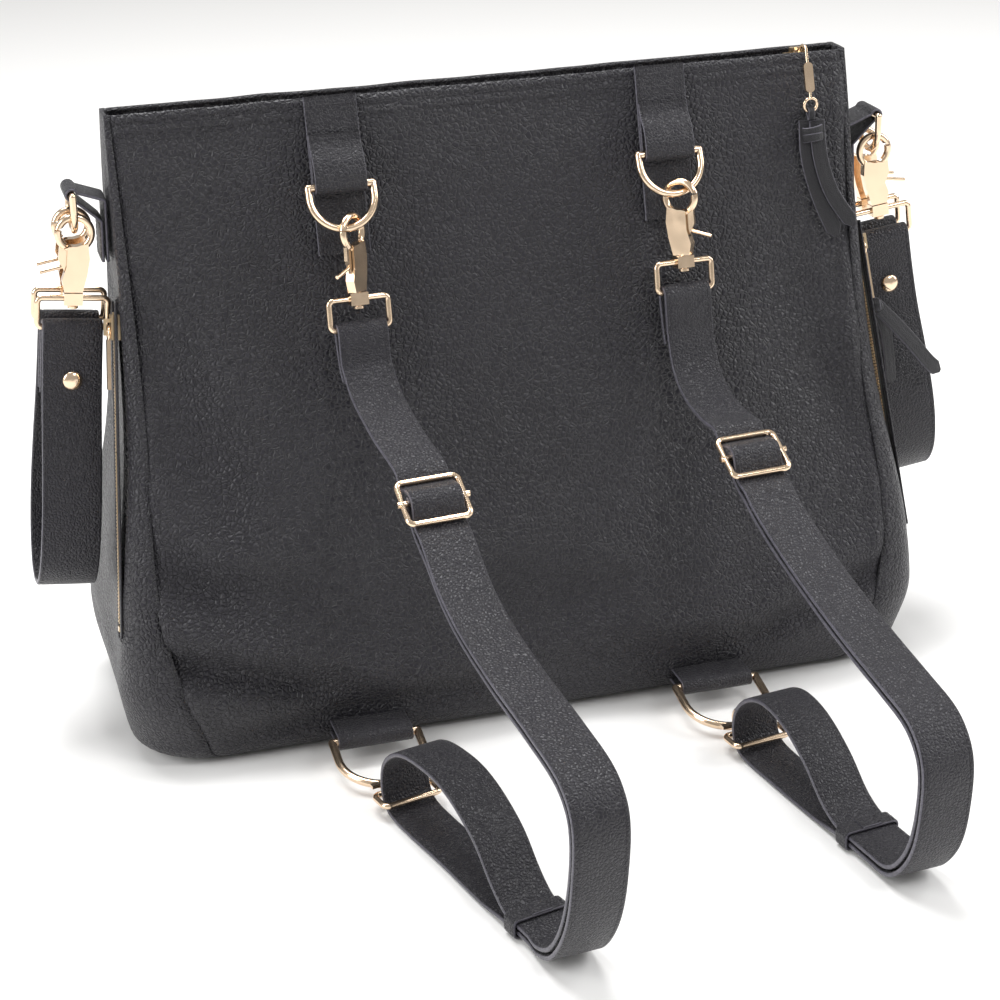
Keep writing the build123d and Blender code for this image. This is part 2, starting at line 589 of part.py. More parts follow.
def straps():
    for side in SIDES:
        plane = strap_plane(side)
        outer = strap_path(side)
        past = beyond_joint(side, 1)
        save(f"{side}_strap_front", band(outer, STRAP_THICK, STRAP_WIDTH, plane) - past)
        (s0, z0), (tx, tz) = slider_place(side)
        nx, nz = -tz, tx
        inner = shifted(outer, -LAYER_STEP)
        start = max(i for i, p in enumerate(inner) if p[0] < s0 + 19 * tx and p[1] > 100)
        sleeve = 1.5 + GAP + TAB_LEATHER / 2
        lead = [(s0 - nx * sleeve, z0 - nz * sleeve), (s0 + tx * 6 - nx * 5.8, z0 + tz * 6 - nz * 5.8),
                (s0 + tx * 12 - nx * 7.2, z0 + tz * 12 - nz * 7.2)]
        back = band(smooth(lead + [inner[start + 2]]) + inner[start + 3:], TAB_LEATHER + 0.8, STRAP_WIDTH, plane)
        glide, frame = tri_glide(side)
        back += frame * Rot(90, 0, 0) * Cylinder(1.5 + GAP + TAB_LEATHER, STRAP_WIDTH)
        back -= frame * Rot(90, 0, 0) * Cylinder(1.5 + GAP, 2 * STRAP_WIDTH)
        save(f"{side}_strap_back", back - past)
        save(f"{side}_tri_glide", glide)
        eye = clasp_eye(side)
        low = side_plane(eye.X, eye.Y, loop_turn(side))
        loop = band(smooth(LOOP_PROFILE[side]), STRAP_THICK, STRAP_WIDTH, low)
        save(f"{side}_strap_loop", loop - beyond_joint(side, -1))
        bottom = 3.6 - STRAP_THICK / 2 - GAP
        top = 7.1 + STRAP_THICK / 2 + GAP
        wide = STRAP_WIDTH + 2 * GAP
        middle = (bottom + top) / 2
        keeper = Box(KEEPER_WIDTH, top - bottom + 2 * KEEPER_THICK, wide + 2 * KEEPER_THICK) \
            - Box(2 * KEEPER_WIDTH, top - bottom, wide)
        save(f"{side}_keeper", low * Pos(KEEPER_AT[side], middle, 0) * keeper)


def lower_hardware():
    for side in SIDES:
        x = LOWER_TAB_X[side]
        wall = half_depth(LOWER_BAR_Z)
        reach = LOWER_WIRE / 2 + GAP + 0.9
        out, z = LOWER_BAR_OUT, LOWER_BAR_Z
        fold = [(wall + 1.3, z + reach)] + arc((out, z), reach, 90, -90) + [(wall + 0.9, z - reach)]
        save(f"{side}_lower_tab", band(fold, 1.8, LOWER_TAB_WIDTH, side_plane(x, 0, 0)))
        dip = LOWER_BAR_Z - LOWER_BOW_Z
        run = (LOWER_RING_DROP**2 - dip**2) ** 0.5
        plane = Plane(origin=(x, -out, z), x_dir=(1, 0, 0), z_dir=(0, run, dip))
        save(f"{side}_lower_ring", plane * d_ring(LOWER_RING_INNER, LOWER_RING_DROP, LOWER_WIRE))
        eye = clasp_eye(side)
        a = radians(loop_turn(side))
        frame = Plane(origin=eye, x_dir=(cos(a), sin(a), 0), z_dir=(0, 0, 1))
        half = (STRAP_WIDTH + RING_SLACK + SWIVEL_RING_WIRE) / 2
        near, far = CLASP_BARS
        corners = [(-half, -near, 0), (half, -near, 0), (half, -far, 0), (-half, -far, 0)]
        path = FilletPolyline(*corners, radius=3.0, close=True)
        clasp = frame * sweep(Plane(path @ 0, z_dir=path % 0) * Circle(SWIVEL_RING_WIRE / 2), path=path)
        clasp += frame * Rot(0, 90, 0) * Torus(CLASP_EYE, CLASP_WIRE / 2)
        clasp += frame * Pos(0, -8.2, 0) * Box(7, 4.0, 5.4)
        lever = frame * Pos(-8.4, -6.2, 3.4) * Box(12, 3.0, 1.6)
        save(f"{side}_lower_clasp", clasp + lever)


# ---------------------------------------------------------------- stroller straps
def stroller_frame(side):
    """Where one side's ring wire carries the hooks, leaning out along the flared gusset."""
    half = (SIDE_RING_INNER + SIDE_WIRE) / 2
    straight = max(SIDE_RING_DROP - half, SIDE_WIRE)
    drop = straight + (half**2 - HOOK_SPREAD**2) ** 0.5
    sign = SIGN[side]
    return Pos(sign * SIDE_BAR_OUT, 0, SIDE_BAR_Z - drop) * Rot(0, -sign * STROLLER_LEAN, 0)


def side_hardware():
    for side in SIDES:
        sign = SIGN[side]
        out, z = SIDE_BAR_OUT, SIDE_BAR_Z
        reach = SIDE_WIRE / 2 + GAP + TAB_LEATHER / 2
        seat = GAP + TAB_LEATHER / 2
        low = z - 34
        path = [(half_length(low) + seat, low), (half_length(z - 4) + seat, z - 4)]
        path += arc((out, z), reach, 165, -110)
        path += [(half_length(z - 14) + 3 * seat, z - 14), (half_length(low) + 3 * seat, low)]
        plane = Plane(origin=(0, 0, 0), x_dir=(sign, 0, 0), z_dir=(0, -sign, 0))
        save(f"{side}_side_tab", band(path, TAB_LEATHER, SIDE_TAB_WIDTH, plane))
        ring = Plane(origin=(sign * out, 0, z), x_dir=(0, 1, 0), z_dir=(0, 0, 1))
        save(f"{side}_side_ring", ring * d_ring(SIDE_RING_INNER, SIDE_RING_DROP, SIDE_WIRE))

        place = stroller_frame(side)
        for name, face in (("near", 1), ("far", -1)):
            body, gate, _ = snap_hook()
            ring = swivel_ring(STROLLER_WIDTH + RING_SLACK)
            hook = Compound(children=[body, gate, ring])
            upright = Plane(origin=(0, -face * HOOK_SPREAD, -HOOK_DROP), x_dir=(-sign, 0, 0), z_dir=(0, sign, 0))
            save(f"{side}_stroller_hook_{name}", place * (upright * hook))
        bar = (HOOK_SPREAD, -HOOK_DROP - HOOK_LENGTH - SWIVEL_RING_DROP)
        reach = SWIVEL_RING_WIRE / 2 + GAP + STROLLER_THICK / 2
        fold = [(HOOK_SPREAD - reach, -RIVET_DROP - 9)] + arc(bar, reach, 180, 0)
        leg = fold + smooth(STROLLER_PROFILE)
        profile = leg + [(-y, z) for y, z in leg[-2::-1]]
        sheet = Plane(origin=(0, 0, 0), x_dir=(0, 1, 0), z_dir=(1, 0, 0))
        strap = band(profile, STROLLER_THICK, STROLLER_WIDTH, sheet)
        rivets = []
        main = width_at([(-z, y) for y, z in STROLLER_PROFILE[:5]], RIVET_DROP)
        inner, outer = HOOK_SPREAD - reach - STROLLER_THICK / 2 - 0.6, main + STROLLER_THICK / 2 + 1.7
        across = Rot(90, 0, 0)
        for face in (-1, 1):
            strap -= Pos(0, face * 12, -RIVET_DROP) * across * Cylinder(RIVET_PIN + 0.05, 23)
            rivet = Pos(0, face * (inner + outer) / 2, -RIVET_DROP) * across * Cylinder(RIVET_PIN, outer - inner)
            for y, radius in ((outer, RIVET_HEAD), (inner, 3.0)):
                rivet += Pos(0, face * y, -RIVET_DROP) * across * Cylinder(radius, 1.0)
            rivets.append(rivet)
        save(f"{side}_stroller_strap", place * strap)
        save(f"{side}_stroller_rivets", place * Compound(children=rivets))


for build in (body_panels, inside, top_zip, side_zips, upper_hardware, straps, lower_hardware, side_hardware):
    build()
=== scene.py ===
"""Diaper bag: leather body, straps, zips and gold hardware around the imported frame."""
import math
import random

import bpy
import numpy as np
from mathutils import Matrix, Vector, noise


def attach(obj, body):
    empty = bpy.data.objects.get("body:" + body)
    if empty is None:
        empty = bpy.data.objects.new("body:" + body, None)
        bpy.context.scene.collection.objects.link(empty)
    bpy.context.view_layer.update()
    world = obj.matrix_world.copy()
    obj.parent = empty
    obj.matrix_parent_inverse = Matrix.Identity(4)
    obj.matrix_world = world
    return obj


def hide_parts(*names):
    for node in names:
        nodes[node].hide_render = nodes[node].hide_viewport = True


MM = 0.001
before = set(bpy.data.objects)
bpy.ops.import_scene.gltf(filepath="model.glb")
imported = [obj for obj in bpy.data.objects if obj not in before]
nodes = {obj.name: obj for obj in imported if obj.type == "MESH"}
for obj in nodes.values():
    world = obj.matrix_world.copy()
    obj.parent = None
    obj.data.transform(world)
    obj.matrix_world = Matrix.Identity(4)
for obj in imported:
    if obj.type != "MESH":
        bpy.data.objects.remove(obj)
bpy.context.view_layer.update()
random.seed(7)

SIDES = ("left", "right")
SIGN = {"left": -1, "right": 1}


# ---------------------------------------------------------------- curves (millimetres)
def arr(p):
    return np.array(p, float)


def bell(d, w):
    return math.exp(-(d / w)**2)


def smooth(points, steps=6):
    """Curve through given points, tangents scaled to each run."""
    pts = [arr(p) for p in points]
    ends = [pts[0]] + pts + [pts[-1]]
    path = []
    for a, b, c, d in zip(ends, ends[1:], ends[2:], ends[3:]):
        run = np.linalg.norm(c - b)
        lead = run / (run + np.linalg.norm(b - a))
        trail = run / (run + np.linalg.norm(d - c))
        for k in range(steps):
            t = k / steps
            path.append((2 * t**3 - 3 * t**2 + 1) * b + (3 * t**2 - 2 * t**3) * c
                        + (t**3 - 2 * t**2 + t) * lead * (c - a) + (t**3 - t**2) * trail * (d - b))
    return path + [pts[-1]]


def arc(centre, radius, start, end, steps=12):
    """Points on a circle, angles in degrees."""
    angles = np.radians(np.linspace(start, end, steps + 1))
    return [arr((centre[0] + radius * math.cos(t), centre[1] + radius * math.sin(t))) for t in angles]


def shifted(path, distance):
    """A plane path moved sideways, to its left."""
    path = [arr(p) for p in path]
    moved = []
    for i, p in enumerate(path):
        d = path[min(i + 1, len(path) - 1)] - path[max(i - 1, 0)]
        d = d / (np.linalg.norm(d) + 1e-9)
        moved.append(p + distance * arr((-d[1], d[0])))
    return moved


def resample(path, step):
    """Even spacing along a path of any dimension."""
    path = np.array(path, float)
    run = np.linalg.norm(np.diff(path, axis=0), axis=1)
    keep = np.concatenate([[True], run > 1e-6])
    path = path[keep]
    run = np.linalg.norm(np.diff(path, axis=0), axis=1)
    along = np.concatenate([[0], np.cumsum(run)])
    count = max(int(round(along[-1] / step)), 2)
    at = np.linspace(0, along[-1], count + 1)
    return np.stack([np.interp(at, along, path[:, k]) for k in range(path.shape[1])], 1)


def relax(path, times):
    """Even out small kinks, with the ends held."""
    path = path.copy()
    for _ in range(times):
        path[1:-1] = 0.5 * path[1:-1] + 0.25 * (path[:-2] + path[2:])
    return path


def unit(v):
    v = np.asarray(v, float)
    return v / (np.linalg.norm(v, axis=-1, keepdims=True) + 1e-12)


# ---------------------------------------------------------------- meshes
def make_mesh(name, verts, faces, mats, index=None, smooth_shade=True):
    data = bpy.data.meshes.new(name)
    data.from_pydata([tuple(v) for v in np.asarray(verts, float) * MM], [], faces)
    for m in mats:
        data.materials.append(m)
    if index is not None:
        data.polygons.foreach_set("material_index", index)
    data.polygons.foreach_set("use_smooth", [smooth_shade] * len(data.polygons))
    data.validate()
    data.update()
    obj = bpy.data.objects.new(name, data)
    bpy.context.scene.collection.objects.link(obj)
    return obj


def grid_faces(rows, cols, closed=False):
    faces = []
    last = cols if closed else cols - 1
    for i in range(rows - 1):
        for j in range(last):
            a, b = i * cols + j, i * cols + (j + 1) % cols
            faces.append((a, b, b + cols, a + cols))
    return faces


def strap_section(width, thick):
    """Section of stitched strap, with a shallow groove under each stitch line, and which of its runs are edge."""
    w, t = width / 2, thick / 2
    side = [(-w, 0.0), (-w + 0.06, 0.42), (-w + 0.35, 0.78), (-w + 0.9, 0.96), (-w + 1.5, 0.98), (-w + 2.1, 0.86),
            (-w + 2.7, 0.98), (-w + 3.6, 1.0)]
    side = [(u, v) for u, v in side if u < -0.2]          # a narrow thong has fewer points
    top = side + [(0.0, 1.03)] + [(-u, v) for u, v in side[::-1]]
    ring = [(u, v * t) for u, v in top] + [(u, -v * t) for u, v in top[::-1][1:-1]]
    edge = []
    for k, (u, _) in enumerate(ring):
        u2 = ring[(k + 1) % len(ring)][0]
        edge.append(1 if min(abs(u), abs(u2)) > w - 0.75 else 0)
    return np.array(ring), edge


def path_frames(path, across):
    """Directions along, across and out of a strap at each point."""
    path = np.asarray(path, float)
    across = np.broadcast_to(np.asarray(across, float), path.shape)
    tangent = unit(np.gradient(path, axis=0))
    across = unit(across - tangent * (across * tangent).sum(1, keepdims=True))
    normal = unit(np.cross(across, tangent))
    return tangent, across, normal


def strap_mesh(name, rings, edge, mats, body, replaces=(), closed=False):
    """Skin over a run of equal sections, with caps at its ends or joined up."""
    rows, cols = len(rings), len(edge)
    faces = grid_faces(rows, cols, True)
    index = edge * (rows - 1)
    if closed:
        for j in range(cols):
            b = (j + 1) % cols
            faces.append(((rows - 1) * cols + j, (rows - 1) * cols + b, b, j))
            index = index + [edge[j]]
    else:
        for base, flip in ((0, False), ((rows - 1) * cols, True)):
            for j in range(cols // 2):
                corners = (j, (cols - j) % cols, (cols - j - 1) % cols, j + 1)
                face = list(dict.fromkeys(base + k for k in corners))
                if len(face) > 2:
                    faces.append(tuple(face if flip else face[::-1]))
                    index = index + [1]
    obj = make_mesh(name, np.concatenate(rings), faces, mats, index)
    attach(obj, body)
    if replaces:
        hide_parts(*replaces)
    return obj


def strip(name, path, across, width, thick, mats, body, replaces=(), step=1.6, closed=False):
    """A leather strip along a path, with one direction across."""
    path = resample(path, step)
    if closed:
        path = path[:-1]
        tangent = unit(np.roll(path, -1, 0) - np.roll(path, 1, 0))
        a = np.broadcast_to(np.asarray(across, float), path.shape)
        a = unit(a - tangent * (a * tangent).sum(1, keepdims=True))
        n = unit(np.cross(a, tangent))
    else:
        _, a, n = path_frames(path, across)
    ring, edge = strap_section(width, thick)
    rings = [p + a[i] * ring[:, :1] + n[i] * ring[:, 1:] for i, p in enumerate(path)]
    return strap_mesh(name, rings, edge, mats, body, replaces, closed)


def ribbon(name, path, across, width, thick, mats, body, replaces, taper=None):
    """Like strip, with its own direction across at every point, and a width that can run out."""
    _, a, n = path_frames(path, across)
    ring, edge = strap_section(width, thick)
    rings = []
    for i, p in enumerate(path):
        k = taper(i / (len(path) - 1)) if taper else 1.0
        rings.append(p + a[i] * ring[:, :1] * k + n[i] * ring[:, 1:] * (0.6 + 0.4 * k))
    obj = strap_mesh(name, rings, edge, mats, body, replaces)
    return obj


def capsule(sides=6):
    """Unit stitch: along X from -0.5 to 0.5, radius 1."""
    rings = [(-0.5, 0.0), (-0.47, 0.55), (-0.36, 0.95), (0.36, 0.95), (0.47, 0.55), (0.5, 0.0)]
    verts, faces = [], []
    for x, r in rings:
        for k in range(sides):
            t = 2 * math.pi * k / sides
            verts.append((x, r * math.cos(t), r * math.sin(t)))
    for i in range(len(rings) - 1):
        for k in range(sides):
            b = (k + 1) % sides
            faces.append((i * sides + k, i * sides + b, (i + 1) * sides + b, (i + 1) * sides + k))
    return np.array(verts), faces


STITCH_VERTS, STITCH_FACES = capsule()


def stitches(name, runs, body, length=2.5, pitch=3.5, radius=0.34, flat=0.62):
    """Rows of raised thread.  Each run is (points on the surface, surface normals)."""
    verts, faces = [], []
    for path, normal in runs:
        path = np.asarray(path, float)
        normal = np.broadcast_to(np.asarray(normal, float), path.shape)
        both = resample(np.concatenate([path, normal * 1e-3], 1), pitch)
        pts, nrm = both[:, :3], unit(both[:, 3:])
        for p, n, t in zip(pts[:-1] * 0.5 + pts[1:] * 0.5, nrm[:-1], unit(np.diff(pts, axis=0))):
            n = unit(n - t * (n @ t))
            s = np.cross(n, t)
            yaw = random.uniform(-0.05, 0.05)
            t2 = t * math.cos(yaw) + s * math.sin(yaw)
            s2 = np.cross(n, t2)
            size = length * random.uniform(0.94, 1.04)
            base = len(verts) * len(STITCH_VERTS)
            v = p + STITCH_VERTS[:, :1] * t2 * size + STITCH_VERTS[:, 1:2] * s2 * radius \
                + STITCH_VERTS[:, 2:] * n * radius * flat
            verts.append(v)
            faces.extend(tuple(base + q for q in f) for f in STITCH_FACES)
    obj = make_mesh(name, np.concatenate(verts), faces, [THREAD])
    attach(obj, body)
    return obj


def edge_rows(path, across, width, thick):
    """Stitch rows along both edges of a strap, on both its faces."""
    _, a, n = path_frames(path, across)
    runs = []
    for s in (-1, 1):
        for face in (1, -1):
            pts = path + a * s * (width / 2 - 2.1) + n * face * (thick / 2 * 0.88)
            runs.append((pts[3:-3], (n * face)[3:-3]))
    return runs, a, n


# ---------------------------------------------------------------- materials
def shader(name, colour, rough, metallic=0.0, sheen=0.0, specular=0.5, coat=0.0):
    m = bpy.data.materials.new(name)
    m.use_nodes = True
    b = m.node_tree.nodes["Principled BSDF"]
    b.inputs["Base Color"].default_value = (*colour, 1)
    b.inputs["Roughness"].default_value = rough
    b.inputs["Metallic"].default_value = metallic
    b.inputs["Specular IOR Level"].default_value = specular
    b.inputs["Sheen Weight"].default_value = sheen
    b.inputs["Coat Weight"].default_value = coat
    return m, m.node_tree, b


def add(tree, kind, **values):
    n = tree.nodes.new(kind)
    for key, value in values.items():
        if hasattr(n, key):
            setattr(n, key, value)
        else:
            n.inputs[key.replace("_", " ")].default_value = value
    return n


def object_space(tree):
    return add(tree, "ShaderNodeTexCoord").outputs["Object"]


def ramp(tree, source, stops):
    r = add(tree, "ShaderNodeValToRGB")
    els = r.color_ramp.elements
    while len(els) < len(stops):
        els.new(0.5)
    for e, (at, c) in zip(els, stops):
        e.position = at
        e.color = (*c, 1)
    tree.links.new(source, r.inputs["Fac"])
    return r.outputs["Color"]


def leather(name, colour, cell, depth, rough, wear=0.35):
    """Pebbled leather: domed cells between creases, fine pores, uneven sheen, and painted shade darkening the creases.
    """
    m, t, b = shader(name, colour, rough, sheen=0.08, specular=0.42)
    co = object_space(t)
    warp = add(t, "ShaderNodeTexNoise", Scale=0.35 / cell * 1000, Detail=2.0)
    t.links.new(co, warp.inputs["Vector"])
    mix = add(t, "ShaderNodeMix", data_type="VECTOR")
    mix.inputs["Factor"].default_value = 0.0006 * cell
    t.links.new(co, mix.inputs["A"])
    t.links.new(warp.outputs["Color"], mix.inputs["B"])
    vor = add(t, "ShaderNodeTexVoronoi", feature="DISTANCE_TO_EDGE", Scale=1000 / cell)
    t.links.new(mix.outputs["Result"], vor.inputs["Vector"])
    domes = ramp(t, vor.outputs["Distance"], [(0.0, (0, 0, 0)), (0.10, (0.55, 0.55, 0.55)), (0.42, (1, 1, 1))])
    fine = add(t, "ShaderNodeTexNoise", Scale=2600 / cell, Detail=3.0)
    t.links.new(co, fine.inputs["Vector"])
    bump1 = add(t, "ShaderNodeBump", Strength=0.9, Distance=depth * MM)
    t.links.new(domes, bump1.inputs["Height"])
    bump2 = add(t, "ShaderNodeBump", Strength=0.35, Distance=depth * 0.4 * MM)
    t.links.new(fine.outputs["Fac"], bump2.inputs["Height"])
    t.links.new(bump1.outputs["Normal"], bump2.inputs["Normal"])
    t.links.new(bump2.outputs["Normal"], b.inputs["Normal"])
    wide = add(t, "ShaderNodeTexNoise", Scale=9.0, Detail=4.0)
    t.links.new(co, wide.inputs["Vector"])
    tone = add(t, "ShaderNodeMix", data_type="RGBA", blend_type="MULTIPLY")
    tone.inputs["Factor"].default_value = 1.0
    # painted shade: the base colour is darkened to 0.62 in the creases between the pebble cells
    painted_crease_shade = ramp(t, vor.outputs["Distance"], [(0.0, (0.62, 0.62, 0.62)), (0.16, (1.0, 1.0, 1.0))])
    t.links.new(painted_crease_shade, tone.inputs["A"])
    base = ramp(t, wide.outputs["Fac"], [(0.3, tuple(c * (1 - 0.12) for c in colour)),
                                         (0.7, tuple(c * (1 + wear * 0.5) for c in colour))])
    t.links.new(base, tone.inputs["B"])
    t.links.new(tone.outputs["Result"], b.inputs["Base Color"])
    gloss = add(t, "ShaderNodeMapRange")
    gloss.inputs["To Min"].default_value = rough - 0.07
    gloss.inputs["To Max"].default_value = rough + 0.09
    t.links.new(wide.outputs["Fac"], gloss.inputs["Value"])
    t.links.new(gloss.outputs["Result"], b.inputs["Roughness"])
    return m


def gold(name, colour, rough):
    """Plated metal: faint polishing marks and uneven gloss."""
    m, t, b = shader(name, colour, rough, metallic=1.0, coat=0.15)
    co = object_space(t)
    n = add(t, "ShaderNodeTexNoise", Scale=160.0, Detail=5.0)
    t.links.new(co, n.inputs["Vector"])
    r = add(t, "ShaderNodeMapRange")
    r.inputs["To Min"].default_value = rough * 0.7
    r.inputs["To Max"].default_value = rough * 1.5
    t.links.new(n.outputs["Fac"], r.inputs["Value"])
    t.links.new(r.outputs["Result"], b.inputs["Roughness"])
    tint = ramp(t, n.outputs["Fac"], [(0.35, tuple(c * 0.93 for c in colour)), (0.65, colour)])
    t.links.new(tint, b.inputs["Base Color"])
    fine = add(t, "ShaderNodeTexNoise", Scale=1400.0, Detail=2.0)
    t.links.new(co, fine.inputs["Vector"])
    bump = add(t, "ShaderNodeBump", Strength=0.06, Distance=0.0001)
    t.links.new(fine.outputs["Fac"], bump.inputs["Height"])
    t.links.new(bump.outputs["Normal"], b.inputs["Normal"])
    return m


def woven(name, colour, pitch, rough=0.8):
    """Cloth: two crossed waves of thread, with painted shade darkening the hollows between them."""
    m, t, b = shader(name, colour, rough, sheen=0.3, specular=0.2)
    co = object_space(t)
    waves = []
    for direction in ("X", "Z"):
        w = add(t, "ShaderNodeTexWave", bands_direction=direction, Scale=1000 / pitch / 6.28, Distortion=0.4)
        t.links.new(co, w.inputs["Vector"])
        waves.append(w)
    mul = add(t, "ShaderNodeMath", operation="MAXIMUM")
    t.links.new(waves[0].outputs["Fac"], mul.inputs[0])
    t.links.new(waves[1].outputs["Fac"], mul.inputs[1])
    bump = add(t, "ShaderNodeBump", Strength=0.5, Distance=0.0002)
    t.links.new(mul.outputs["Value"], bump.inputs["Height"])
    t.links.new(bump.outputs["Normal"], b.inputs["Normal"])
    # painted shade: the colour falls to 0.6 where the weave's height is low, in the hollows between threads
    tint = ramp(t, mul.outputs["Value"], [(0.0, tuple(c * 0.6 for c in colour)), (1.0, colour)])
    t.links.new(tint, b.inputs["Base Color"])
    return m


BLACK = (0.0108, 0.0096, 0.0148)
BODY = leather("bag leather", BLACK, 2.4, 0.95, 0.40)
STRAP = leather("strap leather", (0.0125, 0.0112, 0.0168), 1.7, 0.50, 0.38)
TAB = leather("tab leather", (0.0110, 0.0098, 0.0148), 1.7, 0.50, 0.38)
SUEDE = leather("thong leather", (0.0105, 0.0098, 0.0130), 1.0, 0.22, 0.50)
EDGE = leather("edge paint", (0.070, 0.066, 0.084), 2.4, 0.06, 0.40, wear=0.8)
THREAD = woven("thread", (0.020, 0.018, 0.023), 0.35, 0.6)
TAPE = woven("zip tape", (0.014, 0.014, 0.016), 0.7, 0.85)
CLOTH = woven("lining cloth", (0.33, 0.31, 0.29), 0.6, 0.85)
GOLD = gold("pale gold", (0.86, 0.66, 0.47), 0.17)
TEETH = gold("zip gold", (0.80, 0.62, 0.40), 0.28)
BOARD, board_tree, board_shader = shader("board", (0.05, 0.05, 0.05), 0.7)
board_noise = add(board_tree, "ShaderNodeTexNoise", Scale=300.0)
board_bump = add(board_tree, "ShaderNodeBump", Strength=0.2, Distance=0.0003)
board_tree.links.new(board_noise.outputs["Fac"], board_bump.inputs["Height"])
board_tree.links.new(board_bump.outputs["Normal"], board_shader.inputs["Normal"])

for node_name, node in nodes.items():
    node.data.materials.clear()
    chosen = BOARD if node_name == "base_board" else TEETH if node_name.endswith("zip_slider") else GOLD
    node.data.materials.append(chosen)

# ---------------------------------------------------------------- bag body
TOP = 316.0
LEVELS = [0, 45, 165, TOP]
HALF_LENGTHS = [204, 211, 194, 188]
HALF_DEPTHS = [75, 82, 44, 8.5]
CORNER = 0.16                     # corner radius as a share of the half depth
LZ, LV = np.array(smooth(list(zip(LEVELS, HALF_LENGTHS)), 16)).T
DZ, DV = np.array(smooth(list(zip(LEVELS, HALF_DEPTHS)), 16)).T
TAB_X = {"left": -80.0, "right": 87.0}
LOW_X = {"left": -92.0, "right": 88.0}


def flat_length(z):
    """Half length at a height, without the soft shape."""
    return float(np.interp(z, LEVELS, HALF_LENGTHS))


def flat_depth(z):
    return float(np.interp(z, LEVELS, HALF_DEPTHS))


def roll(z):
    """The bottom edge turns under with a soft radius."""
    r = 13.0
    return 0.0 if z >= r else r - math.sqrt(max(r * r - (r - z)**2, 0))


def corner(z):
    """Plan radius of the corners: crisp at the top, soft and full at the bottom."""
    return CORNER * float(np.interp(z, DZ, DV)) + 20.0 * bell(z - 8, 62)


def hl(z):
    return float(np.interp(z, LZ, LV)) - 1.2 * roll(z)


def hd(z):
    return float(np.interp(z, DZ, DV)) - roll(z)


def crease(x, z, a, b, width, depth):
    """A fold along a line: a valley with a soft ridge above it, fading at its ends."""
    ax, az = a
    bx, bz = b
    dx, dz = bx - ax, bz - az
    run = math.hypot(dx, dz)
    t = ((x - ax) * dx + (z - az) * dz) / run**2
    off = (-(x - ax) * dz + (z - az) * dx) / run
    fade = math.sin(math.pi * min(max(t, 0), 1))**0.7 if 0 < t < 1 else 0.0
    return fade * depth * (-bell(off, width) + 0.55 * bell(off - 1.9 * width, 1.3 * width))


def wave(x, z, scale, seed):
    return noise.noise(Vector((x / scale, z / scale, seed)))


BACK_CREASES = [((-226, 74), (-80, 26), 8, 7.5), ((-165, 16), (-10, 28), 7, 4.6), ((85, 20), (200, 62), 8, 5.4),
                ((-186, 245), (-150, 110), 17, 4.0), ((-205, 135), (-150, 62), 12, 4.0), ((10, 40), (90, 24), 8, 2.0),
                ((150, 215), (182, 100), 15, 3.4), ((-60, 78), (50, 58), 17, 3.0), ((-200, 100), (-110, 82), 10, 3.4)]
FRONT_CREASES = [((-190, 50), (-60, 26), 8, 3.5), ((60, 24), (190, 60), 8, 3.5), ((-30, 120), (60, 110), 20, 2.0)]


BACK_SEED, FRONT_SEED = 1.7, 11.7


def calm(x, z):
    """1 where the panel may move freely, 0 under the sewn tabs and at the top edge."""
    value = 1.0
    for side in SIDES:
        if z > 215:
            value *= 1 - bell(x - TAB_X[side], 24) * min((z - 215) / 25, 1)
        if z < 45:
            value *= 1 - bell(x - LOW_X[side], 34) * (1 - z / 45)
    return value * min((TOP - z) / 14, 1)


def bulge(x, z, seed, creases):
    """How far a large panel stands out from the plain shape."""
    free = calm(x, z)
    out = 3.6 * (1 - (x / 215)**2) * bell(z - 95, 90)
    out += 2.6 * wave(x, z, 85, seed) + 1.1 * wave(x, z, 34, seed + 5) + 0.35 * wave(x, z, 15, seed + 9)
    for a, b, width, depth in creases:
        out += crease(x, z, a, b, width, depth)
    return out * free * min(z / 12, 1)


def top_dip(x):
    return 1.3 + 1.0 * wave(x, 0, 70, 3.3) + 0.5 * wave(x, 0, 24, 8.1)


def large_panel(name, sign, seed, creases, node):
    cols, rows = 300, 230
    verts = []
    levels = np.concatenate([np.linspace(0.6, 14, 14), np.linspace(15.5, 304, rows - 30), np.linspace(305.2, TOP, 16)])
    for z in levels:
        seam = hl(z) - corner(z)
        for j in range(cols):
            u = -1 + 2 * j / (cols - 1)
            u = math.copysign(1 - (1 - abs(u))**1.12, u)
            x = u * seam
            edge = (1 - abs(u)) * seam
            y = hd(z) + bulge(x, z, seed, creases)
            y -= 2.0 * bell(edge, 1.8) * min(z / 12, 1)                         # the seam pulls in
            y += 0.5 * bell(edge - 6, 3)
            if z > TOP - 9:                                    # turned top edge, stitched down
                y += 0.35 - 0.5 * bell(z - (TOP - 4.5), 0.9)
                y -= 0.8 * bell(TOP - z, 1.0)
            drop = top_dip(x) * min(max((z - 250) / 60, 0), 1)
            verts.append((x, sign * y, z - drop))
    rows = len(levels)
    faces = grid_faces(rows, cols)
    if sign > 0:
        faces = [f[::-1] for f in faces]
    obj = make_mesh(name, verts, faces, [BODY])
    thick = obj.modifiers.new("wall", "SOLIDIFY")
    thick.thickness = 1.9 * MM
    thick.offset = -1
    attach(obj, "bag")
    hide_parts(node)


def zip_line(side):
    """Ends of a side zip and its directions, as in the frame."""
    top_z, low_z = 222.0, 74.0
    ends = []
    for z in (top_z, low_z):
        ends.append(arr((SIGN[side] * (flat_length(z) + 0.3), -(flat_depth(z) * (1 - CORNER) - 8.0), z)))
    top, low = ends
    down = unit(low - top)
    out = arr((SIGN[side], 0, 0))
    out = unit(out - down * (down @ out))
    return top, low, down, out, np.cross(out, down)


